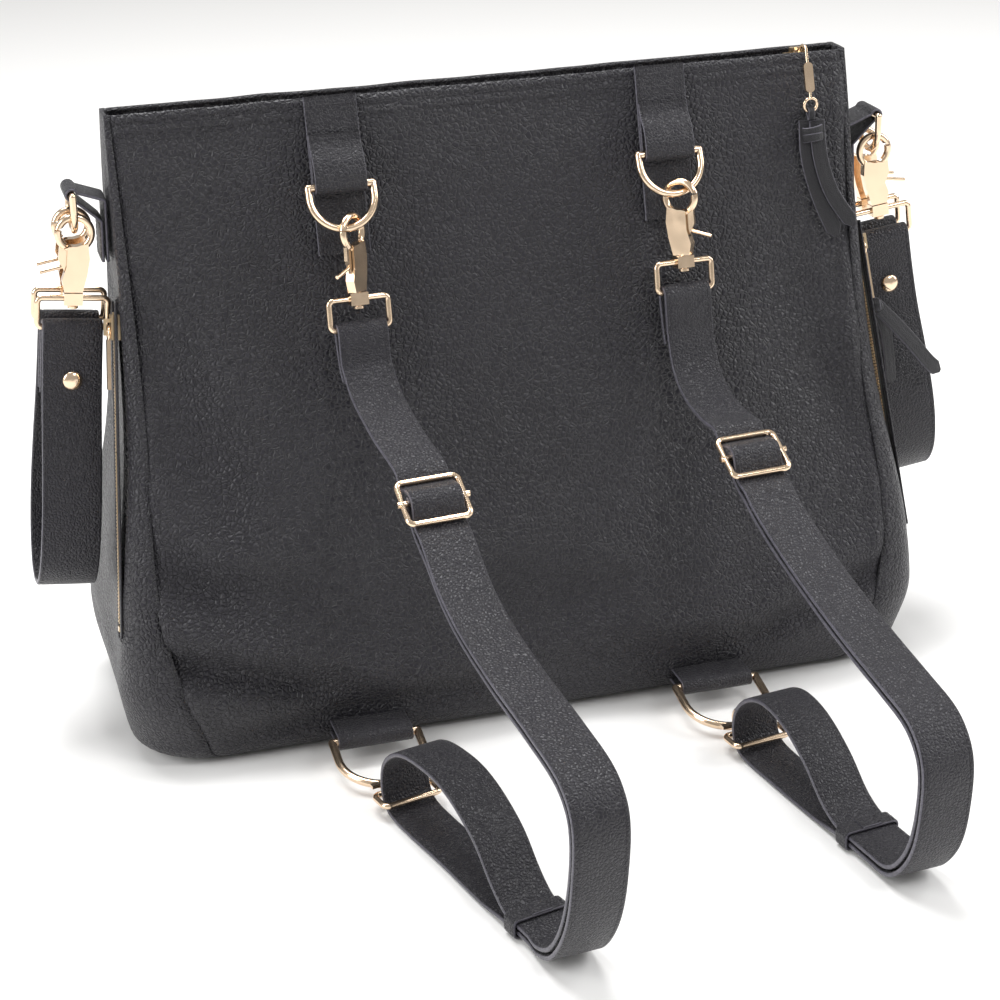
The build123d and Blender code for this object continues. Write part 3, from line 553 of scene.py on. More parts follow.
def gusset(side):
    sign = SIGN[side]
    top, low, down, out, across = zip_line(side)
    levels = np.concatenate([np.linspace(0.6, 14, 14), np.linspace(15.5, TOP, 190)])
    fan = [math.radians(a) for a in np.linspace(90, 0, 10)]
    verts = []
    for z in levels:
        length, depth = hl(z), hd(z)
        c = corner(z)
        section = [(length - c + c * math.cos(t), -(depth - c + c * math.sin(t))) for t in fan]
        flat = np.linspace(-(depth - c), depth - c, 62)[1:-1]
        section += [(length, y) for y in flat]
        section += [(length - c + c * math.cos(t), depth - c + c * math.sin(t)) for t in fan[::-1]]
        for k, (x, y) in enumerate(section):
            near = min(k, len(section) - 1 - k)
            share = 1 - min(abs(y) / depth, 1)**2
            tabbed = bell(y, 15) * min(max((z - 225) / 20, 0), 1)
            deep = 3.0 * share * min(max((z - 40) / 120, 0), 1) * (1 - tabbed)
            deep += 1.3 * wave(y, z, 40, 21 + sign) * min(z / 30, 1) * share * (1 - tabbed)
            deep += crease(y, z, (-60, 30), (55, 44), 7, -2.2) * min(z / 12, 1)
            t = (arr((sign * x, y, z)) - top) @ down
            if -6 < t < np.linalg.norm(low - top) + 6:
                off = abs((arr((sign * x, y, z)) - top) @ across)
                if off < 16 and near > 6:
                    deep = deep * min(max((off - 7) / 9, 0), 1) + 2.4 * bell(off / 5.6, 1.0)**2
                    proud = (arr((sign * x, y, z)) - top) @ out + 2.8      # the slider's plate needs this much
                    deep = max(deep, proud * math.exp(-(off / 6.2)**6))
            deep += 1.6 * bell(near, 1.4) * min(z / 12, 1)
            drop = top_dip(sign * x) * min(max((z - 250) / 60, 0), 1)
            verts.append((sign * (x - deep), y, z - drop))
    faces = grid_faces(len(levels), len(section))
    if sign < 0:
        faces = [f[::-1] for f in faces]
    obj = make_mesh(f"{side}_gusset_leather", verts, faces, [BODY])
    thick = obj.modifiers.new("wall", "SOLIDIFY")
    thick.thickness = 1.7 * MM
    thick.offset = -1
    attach(obj, "bag")
    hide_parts(f"{side}_gusset")


large_panel("back_panel_leather", -1, BACK_SEED, BACK_CREASES, "back_panel")
large_panel("front_panel_leather", 1, FRONT_SEED, FRONT_CREASES, "front_panel")
for side in SIDES:
    gusset(side)


def rounded_ring(z, half_length, half_depth, radius, steps):
    """Level rectangle with rounded corners."""
    ring = []
    for cx, cy, start in ((1, 1, 0), (-1, 1, 90), (-1, -1, 180), (1, -1, 270)):
        for k in range(steps + 1):
            t = math.radians(start + 90 * k / steps)
            ring.append((cx * (half_length - radius) + radius * math.cos(t),
                         cy * (half_depth - radius) + radius * math.sin(t), z))
    return ring


def base_rings(level, slack, steps, shape):
    """Rings that follow the walls at one level, each moved in by its own distance."""
    return [rounded_ring(z, hl(level) - slack - inset, hd(level) - slack - inset,
                         max(corner(level) - slack - inset, 2.0), steps) for inset, z in shape]


def base_leather():
    """Flat base whose border turns up into the side walls."""
    rings = base_rings(0.6, 0.7, 12, ((0.0, 1.9), (0.5, 0.9), (2.0, 0.35), (5.0, 0.06), (9.0, 0.05), (30.0, 0.1),
                                      (60.0, 0.15)))
    cols = len(rings[0])
    faces = [f[::-1] for f in grid_faces(len(rings), cols, True)]
    faces.append(tuple((len(rings) - 1) * cols + k for k in range(cols))[::-1])
    obj = make_mesh("base_leather", [v for ring in rings for v in ring], faces, [BODY])
    thick = obj.modifiers.new("wall", "SOLIDIFY")
    thick.thickness = 1.8 * MM
    thick.offset = -1
    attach(obj, "bag")
    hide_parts("base_panel")


def base_board():
    """Stiff board lying on the base, inside the soft corners."""
    rings = base_rings(3.0, 0.0, 10, ((60.0, 2.5), (4.6, 2.5), (4.0, 2.9), (4.0, 4.3), (4.6, 4.7), (60.0, 4.7)))
    cols = len(rings[0])
    faces = grid_faces(len(rings), cols, True)
    faces.append(tuple(range(cols))[::-1])
    faces.append(tuple((len(rings) - 1) * cols + k for k in range(cols)))
    obj = make_mesh("base_stiffener", [v for ring in rings for v in ring], faces, [BOARD])
    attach(obj, "bag")
    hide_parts("base_board")


base_leather()
base_board()


def lining():
    """Loose cloth bag inside the walls, and a slip pocket on its front wall."""
    verts = []
    levels = np.linspace(6.2, 297, 90)
    fan = [math.radians(a) for a in np.linspace(0, 90, 6)]
    for z in levels:
        length, depth = hl(z) - 7.0, max(hd(z) - 6.5, 3.0)
        c = min(CORNER * depth, depth - 1)
        ring = []
        for cx, cy, turn in ((1, 1, 0), (-1, 1, 1), (-1, -1, 2), (1, -1, 3)):
            for t in fan:
                a = t + turn * math.pi / 2
                ring.append((cx * (length - c) + c * math.cos(a), cy * (depth - c) + c * math.sin(a)))
        full = []
        for p, q in zip(ring, ring[1:] + ring[:1]):
            run = math.hypot(q[0] - p[0], q[1] - p[1])
            count = 40 if run > 60 else 8 if run > 10 else 1
            full += [(p[0] + (q[0] - p[0]) * k / count, p[1] + (q[1] - p[1]) * k / count) for k in range(count)]
        for x, y in full:
            r = 1 - 0.012 * (1 + wave(x + y, z, 22, 31)) * min((z - 6) / 30, 1)
            verts.append((x * r, y * r, z))
        cols = len(full)
    faces = grid_faces(len(levels), cols, True)
    faces.append(tuple(range(cols))[::-1])
    obj = make_mesh("lining_cloth", verts, faces, [CLOTH])
    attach(obj, "bag")
    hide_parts("lining")
    rows = np.linspace(92, 213, 40)
    cells = []
    for z in rows:
        for x in np.linspace(-84, 84, 60):
            y = max(hd(z) - 6.5, 3) * 0.965 - 2.2 - 1.2 * wave(x, z, 40, 41) - 2.0 * bell(z - 213, 14)
            cells.append((x, y, z))
    pocket = make_mesh("slip_pocket_cloth", cells, grid_faces(len(rows), 60), [CLOTH])
    hem = pocket.modifiers.new("hem", "SOLIDIFY")
    hem.thickness = 0.7 * MM
    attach(pocket, "bag")
    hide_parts("inner_pocket")


lining()


def wall_stitches():
    """Stitch lines on the turned top edge and down both sides of the large panels."""
    runs = []
    for sign, seed, creases in ((-1, BACK_SEED, BACK_CREASES), (1, FRONT_SEED, FRONT_CREASES)):
        xs = np.linspace(-hl(311) + 6, hl(311) - 6, 160)
        z = TOP - 4.5
        pts = [(x, sign * (hd(z) + bulge(x, z, seed, creases) - 0.05), z - top_dip(x)) for x in xs]
        runs.append((pts, (0, sign * 0.97, 0.23)))
        for s in (-1, 1):
            pts = []
            for z in np.linspace(12, 306, 150):
                x = s * (hl(z) - corner(z) - 4.2)
                drop = top_dip(x) * min(max((z - 250) / 60, 0), 1)
                pts.append((x, sign * (hd(z) + bulge(x, z, seed, creases) + 0.18), z - drop))
            runs.append((pts, (0, sign, 0)))
    stitches("panel_stitches", runs, "bag", length=2.7, pitch=3.8, radius=0.3)


wall_stitches()

# ---------------------------------------------------------------- straps
WIDTH = 25.4
THICK = 2.5
STEP = 3.5                        # between the two layers' centre lines
SKEW = 5.2                        # degrees that the straps turn from square
# Side profile of each strap, as distance out from the swivel ring and height.
PROFILE = {
    "left": [(6, 192), (20, 180), (45, 172), (76, 167), (98, 156), (116, 142), (141, 125), (185, 114),
             (242, 108), (274, 103), (287, 90), (286, 62), (277, 34), (261, 12), (244, 3.2), (232, 3.6), (210, 3.6)],
    "right": [(5, 190), (12, 172), (26, 161), (46, 156), (66, 153), (84, 143), (102, 130), (132, 118),
              (180, 104), (226, 94), (250, 87), (262, 73), (262, 48), (256, 26), (243, 9), (230, 3.4), (206, 3.6)],
}
# Return loop on the ground, as distance out from the lower clasp's eye and height.
LOOP = {
    "left": [(162, 3.6), (146, 3.6), (130, 3.6), (110, 1.8), (60, 1.5), (28, 1.5), (17.5, 4), (13.3, 12), (16, 27),
             (30, 39), (52, 44), (76, 43), (104, 31), (120, 15), (131, 7.6), (146, 7.1), (162, 7.1)],
    "right": [(156, 3.6), (119, 3.6), (106, 3.6), (90, 1.8), (50, 1.5), (28, 1.5), (17.5, 4), (13.3, 12), (16, 25),
              (28, 36), (42, 40), (60, 37), (80, 26), (95, 13), (107, 7.7), (119, 7.1), (156, 7.1)],
}
SLIDER_AT = {"left": 98.0, "right": 76.0}          # adjuster, out from the swivel ring
JOINT_AT = {"left": 236.0, "right": 228.0}         # where the strap turns back under itself
KEEPER_AT = {"left": 137.5, "right": 114.5}        # out from the clasp's eye
EYE = {"left": arr((-92, -129.27)), "right": arr((88, -129.27))}


BAR = {"left": arr((-77.5, -42.632, 208.406)), "right": arr((89.5, -42.632, 208.406))}


def heading(angle):
    """Level directions along and across a strap that is turned this far."""
    a = math.radians(angle)
    return arr((math.sin(a), -math.cos(a), 0)), arr((math.cos(a), math.sin(a), 0))


def slider_place(side):
    """The adjuster's place on the strap's profile, and the profile's direction there."""
    curve = smooth(PROFILE[side], 12)
    i = min(range(2, len(curve) // 2), key=lambda k: abs(curve[k][0] - SLIDER_AT[side]))
    return curve[i], unit(curve[i + 6] - curve[i - 6])


def joint_facts(side):
    """Direction and distance, from the lower clasp's eye, of the place where the two runs of strap meet."""
    ahead, _ = heading(SKEW)
    joint = BAR[side][:2] + ahead[:2] * JOINT_AT[side]
    back_way = joint - EYE[side]
    turn = math.degrees(math.atan2(back_way[0], -back_way[1]))
    return turn, float(np.linalg.norm(back_way))


def whole_strap(side):
    """Centre line of the whole strap, from its end behind the swivel ring to its end round the adjuster's bar."""
    z = BAR[side][2]
    reach = 1.5 + 0.3 + THICK / 2
    profile = [arr(p) for p in PROFILE[side]]
    at = SLIDER_AT[side]
    (s0, z0), (tx, tz) = slider_place(side)
    nx, nz = -tz, tx
    weave = [arr((s0 + tx * u + nx * v, z0 + tz * u + nz * v))
             for u, v in ((-19, -1.6), (-11.5, -3.4), (0, 5.0), (11.5, -3.4), (19, -2.0))]
    before = [p for p in profile if p[0] < at - 22]
    after = [p for p in profile if p[0] > at + 20 or p[1] < 100]
    front = smooth(before + weave + after)
    tail = [p for p in shifted(front, -STEP - 1.0) if z - 26 < p[1] < z - 12]
    outer = smooth(tail[::-1] + [arr((-reach, z - 3))], 2) + arc((0, z), reach, 180, 10) + front
    turn, far = joint_facts(side)
    ahead, across1 = heading(SKEW)
    low, across2 = heading(turn)
    bend = max(range(len(outer)), key=lambda i: outer[i][0])
    cut = next(i for i in range(bend, len(outer)) if outer[i][0] < JOINT_AT[side])
    inner = shifted(outer, -STEP)
    cut_in = next(i for i in range(bend, len(inner)) if inner[i][0] < JOINT_AT[side])
    start = max(i for i, p in enumerate(inner) if p[0] < s0 + 19 * tx and p[1] > 100)
    lead = [arr((s0 + tx * u + nx * v, z0 + tz * u + nz * v)) for u, v in ((6, -5.8), (12, -7.2))]
    wrap = [arr((s0 + tx * 2.7 * math.cos(a) + nx * 2.7 * math.sin(a),
                 z0 + tz * 2.7 * math.cos(a) + nz * 2.7 * math.sin(a))) for a in np.radians(np.linspace(60, 270, 14))]
    back_run = (wrap + smooth([wrap[-1]] + lead + [inner[start + 2]])[1:] + inner[start + 3:cut_in])[::-1]
    loop = [p for p in smooth(LOOP[side]) if p[0] < far]

    def place(points, origin, direction):
        return [arr((origin[0] + direction[0] * p[0], origin[1] + direction[1] * p[0], p[1])) for p in points]
    first = place(outer[:cut], BAR[side], ahead)
    middle = place(loop, EYE[side], low)
    last = place(back_run, BAR[side], ahead)
    points = first + middle + last
    sides = [across1] * len(first) + [across2] * len(middle) + [across1] * len(last)
    both = resample(np.concatenate([np.array(points), np.array(sides) * 1e-3], 1), 1.5)
    path, across = both[:, :3], unit(both[:, 3:])
    for _ in range(40):                                   # ease the change of direction on the ground
        across[1:-1] = 0.5 * across[1:-1] + 0.25 * (across[:-2] + across[2:])
    path = relax(path, 3)
    drift = np.array([[0.5 * wave(i * 1.5, 0, 45, 51 + SIGN[side]), 0, 0] for i in range(len(path))])
    return path + drift, unit(across)


STRAP_PATHS = {side: whole_strap(side) for side in SIDES}


for side in SIDES:
    path, across = STRAP_PATHS[side]
    body = f"{side} strap"
    ribbon(f"{side}_strap_leather", path, across, WIDTH, THICK, [STRAP, EDGE], body,
           [f"{side}_strap_front", f"{side}_strap_back", f"{side}_strap_loop"])
    runs, a, n = edge_rows(path, across, WIDTH, THICK)
    # cross rows where the end is sewn down under the swivel ring
    top = int(np.argmax(path[:60, 2]))
    for along in (14, 20):
        i = top + int(along / 1.5)
        row = [path[i] + a[i] * u + n[i] * THICK / 2 * 0.98 for u in np.linspace(-10.4, 10.4, 8)]
        runs.append((row, n[i]))
        runs.append(([p - n[i] * THICK * 0.98 for p in row], -n[i]))
    stitches(f"{side}_strap_stitches", runs, body)

    # keeper: a closed band with a lapped seam
    turn, _ = joint_facts(side)
    low, across2 = heading(turn)
    centre = np.append(EYE[side] + low[:2] * KEEPER_AT[side], 5.35)
    w, h, r = WIDTH / 2 + 1.15, 4.15, 1.9
    corner = []
    for cx, cz, start in ((1, 1, 0), (-1, 1, 90), (-1, -1, 180), (1, -1, 270)):
        corner += arc((cx * (w - r), cz * (h - r)), r, start, start + 90, 8)
    corner.append(corner[0])
    ring3 = [centre + across2 * p[0] + arr((0, 0, 1)) * p[1] for p in corner]
    keeper = strip(f"{side}_keeper_leather", ring3, low, 9.0, 1.5, [TAB, EDGE], body, [f"{side}_keeper"], 1.0, True)
    lap = [centre + across2 * u + arr((0, 0, h + 0.95)) for u in np.linspace(-4.5, 5.5, 12)]
    lap_piece = strip(f"{side}_keeper_lap", lap, low, 8.6, 0.9, [TAB, EDGE], body, (), 1.0)
    stitches(f"{side}_keeper_stitches", [([centre + across2 * u + low * v + arr((0, 0, h + 1.4))
                                           for v in np.linspace(-3.6, 3.6, 4)], (0, 0, 1)) for u in (-3.2, 4.2)],
             body, 1.9, 2.4, 0.26)

# ---------------------------------------------------------------- sewn tabs
SLOPE = math.atan2(HALF_DEPTHS[2] - HALF_DEPTHS[3], LEVELS[3] - LEVELS[2])


def out_from_panel(x, z, lift):
    """Point a given distance out from the plain back panel."""
    return arr((x, -flat_depth(z) - lift * math.cos(SLOPE), z + lift * math.sin(SLOPE)))


for side in SIDES:
    x = TAB_X[side]
    top_z = TOP - 0.5
    along = arr((0, -math.sin(SLOPE), -math.cos(SLOPE)))
    face = arr((0, -math.cos(SLOPE), math.sin(SLOPE)))
    start = out_from_panel(x, top_z, 1.3)
    patch = [start + along * t + face * -0.4 * bell(t - 76, 3) for t in np.linspace(0, 76, 40)]
    tab = strip(f"{side}_upper_tab_leather", patch, (1, 0, 0), 26, 1.9, [TAB, EDGE], "bag", [f"{side}_upper_tab"])
    row = lambda t, u: start + along * t + arr((u, 0, 0)) + face * 0.92
    runs = [([row(t, s * 10.9) for t in np.linspace(2, 73, 30)], face) for s in (-1, 1)]
    runs += [([row(t, u) for u in np.linspace(-10.9, 10.9, 8)], face) for t in (4.5, 73)]
    bar_out = 0.3 + 2.0 + 0.3 + 1.6 + 0.3 + 1.9
    bar_t = (top_z - (275.0 - bar_out * math.sin(SLOPE))) / math.cos(SLOPE)
    reach = 1.9 + 0.3 + 0.8
    # (distance up from the bar, distance out from the panel)
    fold = smooth([(25, 3.1), (20, 3.5), (12, 8.1), (5, bar_out + reach + 0.3)]) + arc((0, bar_out), reach, 90, 270) \
        + [arr((10, bar_out - reach)), arr((19, bar_out - reach - 0.1))]
    bottom = start - face * 1.3
    loop = [bottom + along * (bar_t - u) + face * v for u, v in fold]
    piece = strip(f"{side}_upper_tab_loop", loop, (1, 0, 0), 25.6, 1.5, [TAB, EDGE], "bag", (), 1.0)
    mid = [bottom + along * (bar_t - u) + face * (v + 0.75) for u, v in fold if u > 1][:-2]
    runs += [([p + arr((s * 10.9, 0, 0)) for p in mid[:16]], face) for s in (-1, 1)]
    cross = bottom + along * (bar_t - 16.5) + face * 6.1
    runs += [([cross + arr((u, 0, 0)) for u in np.linspace(-10.9, 10.9, 8)], face)]
    stitches(f"{side}_upper_tab_stitches", runs, "bag")

    x = LOW_X[side]
    reach = 2.1 + 0.3 + 0.9
    wall = flat_depth(13)
    fold = [arr((wall - 3.0, 13 + reach + 0.4)), arr((wall + 1.3, 13 + reach))] + arc((94, 13), reach, 90, -90) \
        + [arr((wall + 0.9, 13 - reach)), arr((wall - 3.0, 13 - reach - 0.4))]
    loop = [arr((x, -s, z)) for s, z in fold]
    piece = strip(f"{side}_lower_tab_leather", loop, (1, 0, 0), 38, 1.7, [TAB, EDGE], "bag",
                  [f"{side}_lower_tab"], 1.0)
    level = 13 + reach + 0.85
    runs = [([arr((x + s * 16.8, -t, level)) for t in np.linspace(wall + 2, 92, 5)], (0, 0, 1)) for s in (-1, 1)]
    runs += [([arr((x + u, -(wall + 4.5), level)) for u in np.linspace(-16.8, 16.8, 11)], (0, 0, 1))]
    stitches(f"{side}_lower_tab_stitches", runs, "bag")

    sign = SIGN[side]
    reach = 1.7 + 0.3 + 0.8
    seat = 0.3 + 0.8
    low = 279.0 - 34
    fold = [arr((flat_length(low) + seat, low)), arr((flat_length(275) + seat, 275))] \
        + arc((206, 279), reach, 165, -110) \
        + [arr((flat_length(265) + 3 * seat, 265)), arr((flat_length(low) + 3 * seat, low))]
    loop = [arr((sign * u, 0, z)) for u, z in fold]
    piece = strip(f"{side}_side_tab_leather", loop, (0, 1, 0), 20, 1.5, [TAB, EDGE], "bag", [f"{side}_side_tab"], 1.0)
    flat = [arr((sign * (flat_length(z) + 3 * seat + 0.75), 0, z)) for z in np.linspace(low + 2, 263, 6)]
    runs = [([p + arr((0, s * 7.9, 0)) for p in flat], (sign, 0, 0)) for s in (-1, 1)]
    runs += [([flat[i] + arr((0, u, 0)) for u in np.linspace(-7.9, 7.9, 6)], (sign, 0, 0)) for i in (0, -1)]
    stitches(f"{side}_side_tab_stitches", runs, "bag")

# ---------------------------------------------------------------- stroller straps
STROLLER = [(10.9, -58), (11.8, -68), (15, -88), (22, -113), (27, -141), (24, -165), (13, -180), (0, -184)]
LEAN = 7.0                        # degrees that the strap hangs away from the bag


def stroller_frame(side):
    """Bar of the side ring, and the directions down and across the hanging strap."""
    half = (21.0 + 3.4) / 2
    drop = max(19.0 - half, 3.4) + math.sqrt(half**2 - 49)
    a = math.radians(LEAN)
    sign = SIGN[side]
    origin = arr((sign * 206.0, 0, 279 - drop))
    down = arr((sign * math.sin(a), 0, -math.cos(a)))
    return origin, down, arr((math.cos(a), 0, sign * math.sin(a)))


def lathe(profile, origin, axis, count=28):
    """Turned piece: profile of (radius, height along the axis)."""
    axis = unit(arr(axis))
    side_dir = unit(np.cross(axis, arr((0.3, 0.2, 1.0))))
    other = np.cross(axis, side_dir)
    verts = []
    for r, h in profile:
        for k in range(count):
            t = 2 * math.pi * k / count
            verts.append(arr(origin) + axis * h + (side_dir * math.cos(t) + other * math.sin(t)) * max(r, 1e-3))
    return verts, grid_faces(len(profile), count, True)


for side in SIDES:
    origin, down, across = stroller_frame(side)
    body = f"{side} stroller strap"
    reach = 1.5 + 0.3 + 1.4
    bar = (7.0, -2.3 - 32 - 14.5)
    leg = [arr((7.0 - reach, -83))] + arc(bar, reach, 180, 0) + smooth(STROLLER)
    profile = leg + [arr((-p[0], p[1])) for p in leg[-2::-1]]
    path = relax(resample([origin + arr((0, -p[0], 0)) - down * p[1] for p in profile], 1.5), 2)
    ribbon(f"{side}_stroller_leather", path, np.broadcast_to(across, path.shape), 29.0, 2.8, [STRAP, EDGE], body,
           [f"{side}_stroller_strap"])
    stitches(f"{side}_stroller_stitches", edge_rows(path, across, 29.0, 2.8)[0], body)
    dome = [(0.0, 1.9), (1.8, 1.75), (3.2, 1.3), (4.3, 0.65), (4.8, 0.1), (4.85, -0.3), (4.5, -0.6), (1.6, -0.7),
            (1.5, -9.5), (3.0, -9.6), (3.1, -10.3), (2.4, -10.7), (0.0, -10.8)]
    verts, faces = [], []
    for f in (-1, 1):
        v, q = lathe(dome, origin + down * 74 + arr((0, -f * 14.3, 0)), (0, -f, 0))
        base = len(verts)
        verts += v
        faces += [tuple(base + k for k in quad[::-1]) for quad in q]
    rivets = make_mesh(f"{side}_stroller_rivet_caps", verts, faces, [GOLD])
    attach(rivets, body)
    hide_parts(f"{side}_stroller_rivets")


# ---------------------------------------------------------------- zips
def tooth_mesh():
    """One zip tooth: x along the chain, y out from the slit, z up."""
    outline = [(-0.55, 0.0), (0.55, 0.0), (0.62, 0.7), (0.42, 1.9), (-0.42, 1.9), (-0.62, 0.7)]
    verts, faces = [], []
    for z, k in ((-0.95, 0.86), (-0.7, 1.0), (0.7, 1.0), (0.95, 0.86)):
        verts += [(x * k, 0.95 + (y - 0.95) * k, z) for x, y in outline]
    n = len(outline)
    for i in range(3):
        for j in range(n):
            b = (j + 1) % n
            faces.append((i * n + j, i * n + b, (i + 1) * n + b, (i + 1) * n + j))
    faces.append(tuple(range(n))[::-1])
    faces.append(tuple(3 * n + j for j in range(n)))
    return np.array(verts), faces


def zip_set(prefix, start, end, out, across, half_tape, stops, teeth_node, tapes_node):
    """Two rows of single teeth with their end stops, and the woven tapes that carry them."""
    start, end = arr(start), arr(end)
    along = unit(end - start)
    length = float(np.linalg.norm(end - start))
    tooth, quads = tooth_mesh()
    verts, faces = [], []
    pitch = 1.75
    for row in (-1, 1):
        count = int(length / pitch)
        for k in range(count):
            at = start + along * (pitch * (k + (0.5 if row > 0 else 0.25)))
            v = at + tooth[:, :1] * along + (0.45 + tooth[:, 1:2] * 0.9) * row * across + tooth[:, 2:] * out
            base = len(verts) * len(tooth)
            verts.append(v)
            faces.extend(tuple(base + q for q in (f if row > 0 else f[::-1])) for f in quads)
    chain = np.concatenate(verts)
    for s in stops:
        at = start + along * (length / 2 + s * (length / 2 + 1.6))
        block = []
        for u in (-1.3, 1.3):
            for v, w in ((-2.4, -0.7), (-2.0, 1.1), (2.0, 1.1), (2.4, -0.7)):
                block.append(at + along * u + across * v + out * w)
        base = len(chain)
        chain = np.concatenate([chain, np.array(block)])
        faces += [tuple(base + q for q in f) for f in
                        ((0, 1, 2, 3), (7, 6, 5, 4), (0, 4, 5, 1), (1, 5, 6, 2), (2, 6, 7, 3), (3, 7, 4, 0))]
    teeth = make_mesh(f"{prefix}_zip_chain", chain, faces, [TEETH], None, False)
    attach(teeth, "bag")
    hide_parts(teeth_node)
    cells, quads = [], []
    rows = int(length / 3)
    for row in (-1, 1):
        base = len(cells)
        for i in range(rows + 1):
            at = start + along * length * i / rows
            for v, w in ((1.9, 0.42), (2.4, 0.3), (2.9, 0.36), (half_tape * 0.7, 0.22), (half_tape, 0.1),
                         (half_tape, -0.3), (half_tape * 0.7, -0.25), (1.9, -0.4)):
                cells.append(at + across * row * v + out * w)
        part = grid_faces(rows + 1, 8, True)
        ends = [tuple(range(8)), tuple(rows * 8 + k for k in range(8))[::-1]]
        quads += [tuple(base + q for q in (f if row > 0 else f[::-1])) for f in part + ends]
    tapes = make_mesh(f"{prefix}_zip_tape", cells, quads, [TAPE])
    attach(tapes, "bag")
    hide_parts(tapes_node)


zip_set("top", (-172, 0, 310.5), (172, 0, 310.5), arr((0, 0, 1)), arr((0, 1, 0)), 7.3, (-1, 1), "top_zip_teeth",
        "top_zip_tapes")
for side in SIDES:
    top, low, down, out, across = zip_line(side)
    zip_set(side, top, low, out, across, 6.4, (1,), f"{side}_zip_teeth", f"{side}_zip_tapes")
    # turned leather lips on both sides of the chain
    for s, word in ((-1, "back"), (1, "front")):
        span = np.linalg.norm(low - top)
        lip = [top + down * t + across * s * 6.6 + out * 0.3 for t in np.linspace(-5, span + 5, 50)]
        piece = strip(f"{side}_zip_lip_{word}", lip, across, 3.4, 1.3, [TAB, TAB], "bag")

# ---------------------------------------------------------------- tassel and thong
def flat_tail(name, points, across, width, thick, body, replaces=()):
    """A flat thong end, cut to a blunt point."""
    path = resample(smooth(points, 10), 1.2)
    ribbon(name, path, arr(across), width, thick, [SUEDE, EDGE], body, replaces,
           lambda t: 1.0 if t < 0.93 else max(1 - (t - 0.93) / 0.07 * 0.75, 0.2))


sx = 165.0                        # the top pull hangs here
ring_z = TOP - 22 - 3.6 - 3.4     # eye at the pull's lower end


def panel_y(z, lift):
    return -flat_depth(z) - lift


hang = panel_y(294.0, 5.5)
flat_tail("tassel_tail_long", [(sx - 2.6, panel_y(ring_z - 4, 4.4), ring_z - 4), (sx - 2.4, panel_y(265, 3.6), 265),
                               (sx + 2.5, panel_y(245, 2.4), 245), (sx + 11, panel_y(224, 2.2), 224)],
          (1, 0, 0.25), 8.6, 1.5, "top tassel", ["top_zip_tassel"])
flat_tail("tassel_tail_short", [(sx + 2.2, panel_y(ring_z - 4, 6.2), ring_z - 4), (sx + 3.4, panel_y(264, 5.4), 264),
                                (sx + 9, panel_y(246, 4.2), 246), (sx + 20, panel_y(229, 4.0), 229)],
          (1, 0, 0.4), 8.0, 1.5, "top tassel")
loop = [arr((panel_y(ring_z - 8, 3.4), ring_z - 9))] + arc((hang, ring_z), 2.0, 180, 0) \
    + [arr((panel_y(ring_z - 8, 6.4), ring_z - 9))]
loop = [arr((sx, p[0], p[1])) for p in loop]
piece = strip("tassel_loop", loop, (1, 0, 0), 3.4, 1.0, [SUEDE, EDGE], "top tassel", (), 0.7)
for k, z in enumerate((ring_z - 8.5, ring_z - 12.3)):
    c = arr((sx, panel_y(z, 5.0), z))
    coil = [c + arr((5.0 * math.cos(t), 3.0 * math.sin(t), 0.8 * math.cos(t + k)))
            for t in np.linspace(0, 2 * math.pi, 33)]
    piece = strip(f"tassel_knot_{k + 1}", coil, (0, 0.1, 1), 4.2, 1.4, [SUEDE, EDGE], "top tassel", (), 0.8, True)

top, low, down, out, across = zip_line("right")
hole = top + down * 7.0 + out * 3.15
knot = hole + down * 34.3 + out * 2.2
for k, (tilt, turn) in enumerate(((0.25, 0.0), (-0.4, 1.2))):
    u = unit(down * math.cos(turn) + across * math.sin(turn))
    v = unit(np.cross(out, u) * math.cos(tilt) + out * math.sin(tilt))
    coil = [knot + u * 3.1 * math.cos(t) + v * 3.3 * math.sin(t) for t in np.linspace(0, 2 * math.pi, 29)]
    piece = strip(f"thong_knot_{k + 1}", coil, np.cross(u, v), 4.0, 1.5, [SUEDE, EDGE], "right side pull",
                  ["right_zip_thong"] if k == 0 else (), 0.8, True)
throat = [hole + down * 27 + out * 0.4, hole + down * 30 + out * 1.4, knot]
piece = strip("thong_neck", throat, across, 3.2, 1.2, [SUEDE, EDGE], "right side pull", (), 0.8)
flat_tail("thong_tail_long",
          [knot, knot + down * 10 + out * 7 - across * 2, knot + down * 22 + out * 15 - across * 3,
           knot + down * 36 + out * 24 - across * 2, knot + down * 42 + out * 30],
          unit(out * 0.8 - down * 0.6 + across * 0.25), 8.4, 1.6, "right side pull")
flat_tail("thong_tail_short",
          [knot, knot + down * 12 + out * 4 + across * 3, knot + down * 26 + out * 5 + across * 5,
           knot + down * 44 + out * 4 + across * 6],
          unit(out + across * 0.35), 8.0, 1.6, "right side pull")

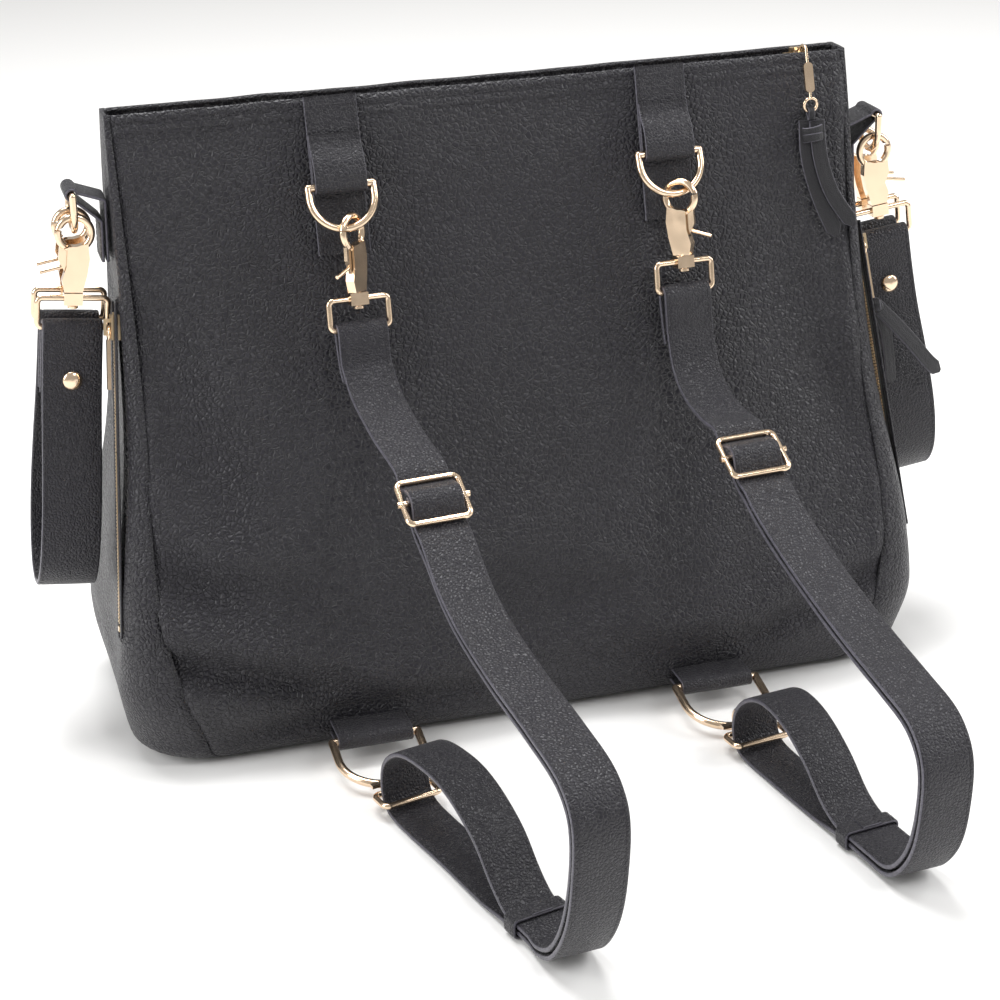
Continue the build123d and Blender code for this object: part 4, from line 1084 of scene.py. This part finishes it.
# ---------------------------------------------------------------- floor, light, camera
floor_mat, _, _ = shader("paper", (0.93, 0.925, 0.915), 0.85, specular=0.15)
floor = bpy.data.meshes.new("floor")
floor.from_pydata([(-6, -4, 0), (6, -4, 0), (6, 8, 0), (-6, 8, 0)], [], [(0, 1, 2, 3)])
floor.materials.append(floor_mat)
floor = bpy.data.objects.new("floor", floor)
floor.location.z = -0.0002
bpy.context.scene.collection.objects.link(floor)


def area(name, place, target, size, power):
    data = bpy.data.lights.new(name, "AREA")
    data.shape = "RECTANGLE"
    data.size, data.size_y = size
    data.energy = power
    lamp = bpy.data.objects.new(name, data)
    lamp.location = place
    lamp.rotation_euler = (Vector(target) - Vector(place)).to_track_quat("-Z", "Y").to_euler()
    bpy.context.scene.collection.objects.link(lamp)


area("top box", (-0.15, 0.45, 1.9), (0, -0.05, 0.1), (1.5, 0.9), 38)
area("left box", (-1.7, -0.5, 1.0), (0, -0.05, 0.15), (0.7, 1.3), 20)
area("right box", (1.6, -0.2, 1.1), (0, -0.05, 0.15), (0.6, 1.3), 15)
area("front box", (0.9, -1.6, 1.9), (0, -0.05, 0.12), (0.7, 0.5), 13)
world = bpy.data.worlds.new("studio")
bpy.context.scene.world = world
world.use_nodes = True
world.node_tree.nodes["Background"].inputs["Color"].default_value = (1.0, 0.995, 0.985, 1)
world.node_tree.nodes["Background"].inputs["Strength"].default_value = 0.46

camera = bpy.data.cameras.new("camera")
camera.lens = 85.1
camera.sensor_width = 36
camera.clip_start = 0.05
camera.clip_end = 30
camera = bpy.data.objects.new("camera", camera)
bpy.context.scene.collection.objects.link(camera)
azimuth, elevation, tilt = math.radians(15.5), math.radians(23.0), math.radians(-1.65)
forward = Vector((math.sin(azimuth) * math.cos(elevation), math.cos(azimuth) * math.cos(elevation),
                  -math.sin(elevation)))
right = Vector((math.cos(azimuth), -math.sin(azimuth), 0))
up = right.cross(forward)
right2 = right * math.cos(tilt) + up * math.sin(tilt)
up2 = up * math.cos(tilt) - right * math.sin(tilt)
target = Vector((-0.0065, -0.030, 0.10256))
place = target - forward * 1.2149
camera.matrix_world = Matrix(((right2.x, up2.x, -forward.x, place.x), (right2.y, up2.y, -forward.y, place.y),
                              (right2.z, up2.z, -forward.z, place.z), (0, 0, 0, 1)))
bpy.context.scene.camera = camera
bpy.context.scene.view_settings.view_transform = "Standard"
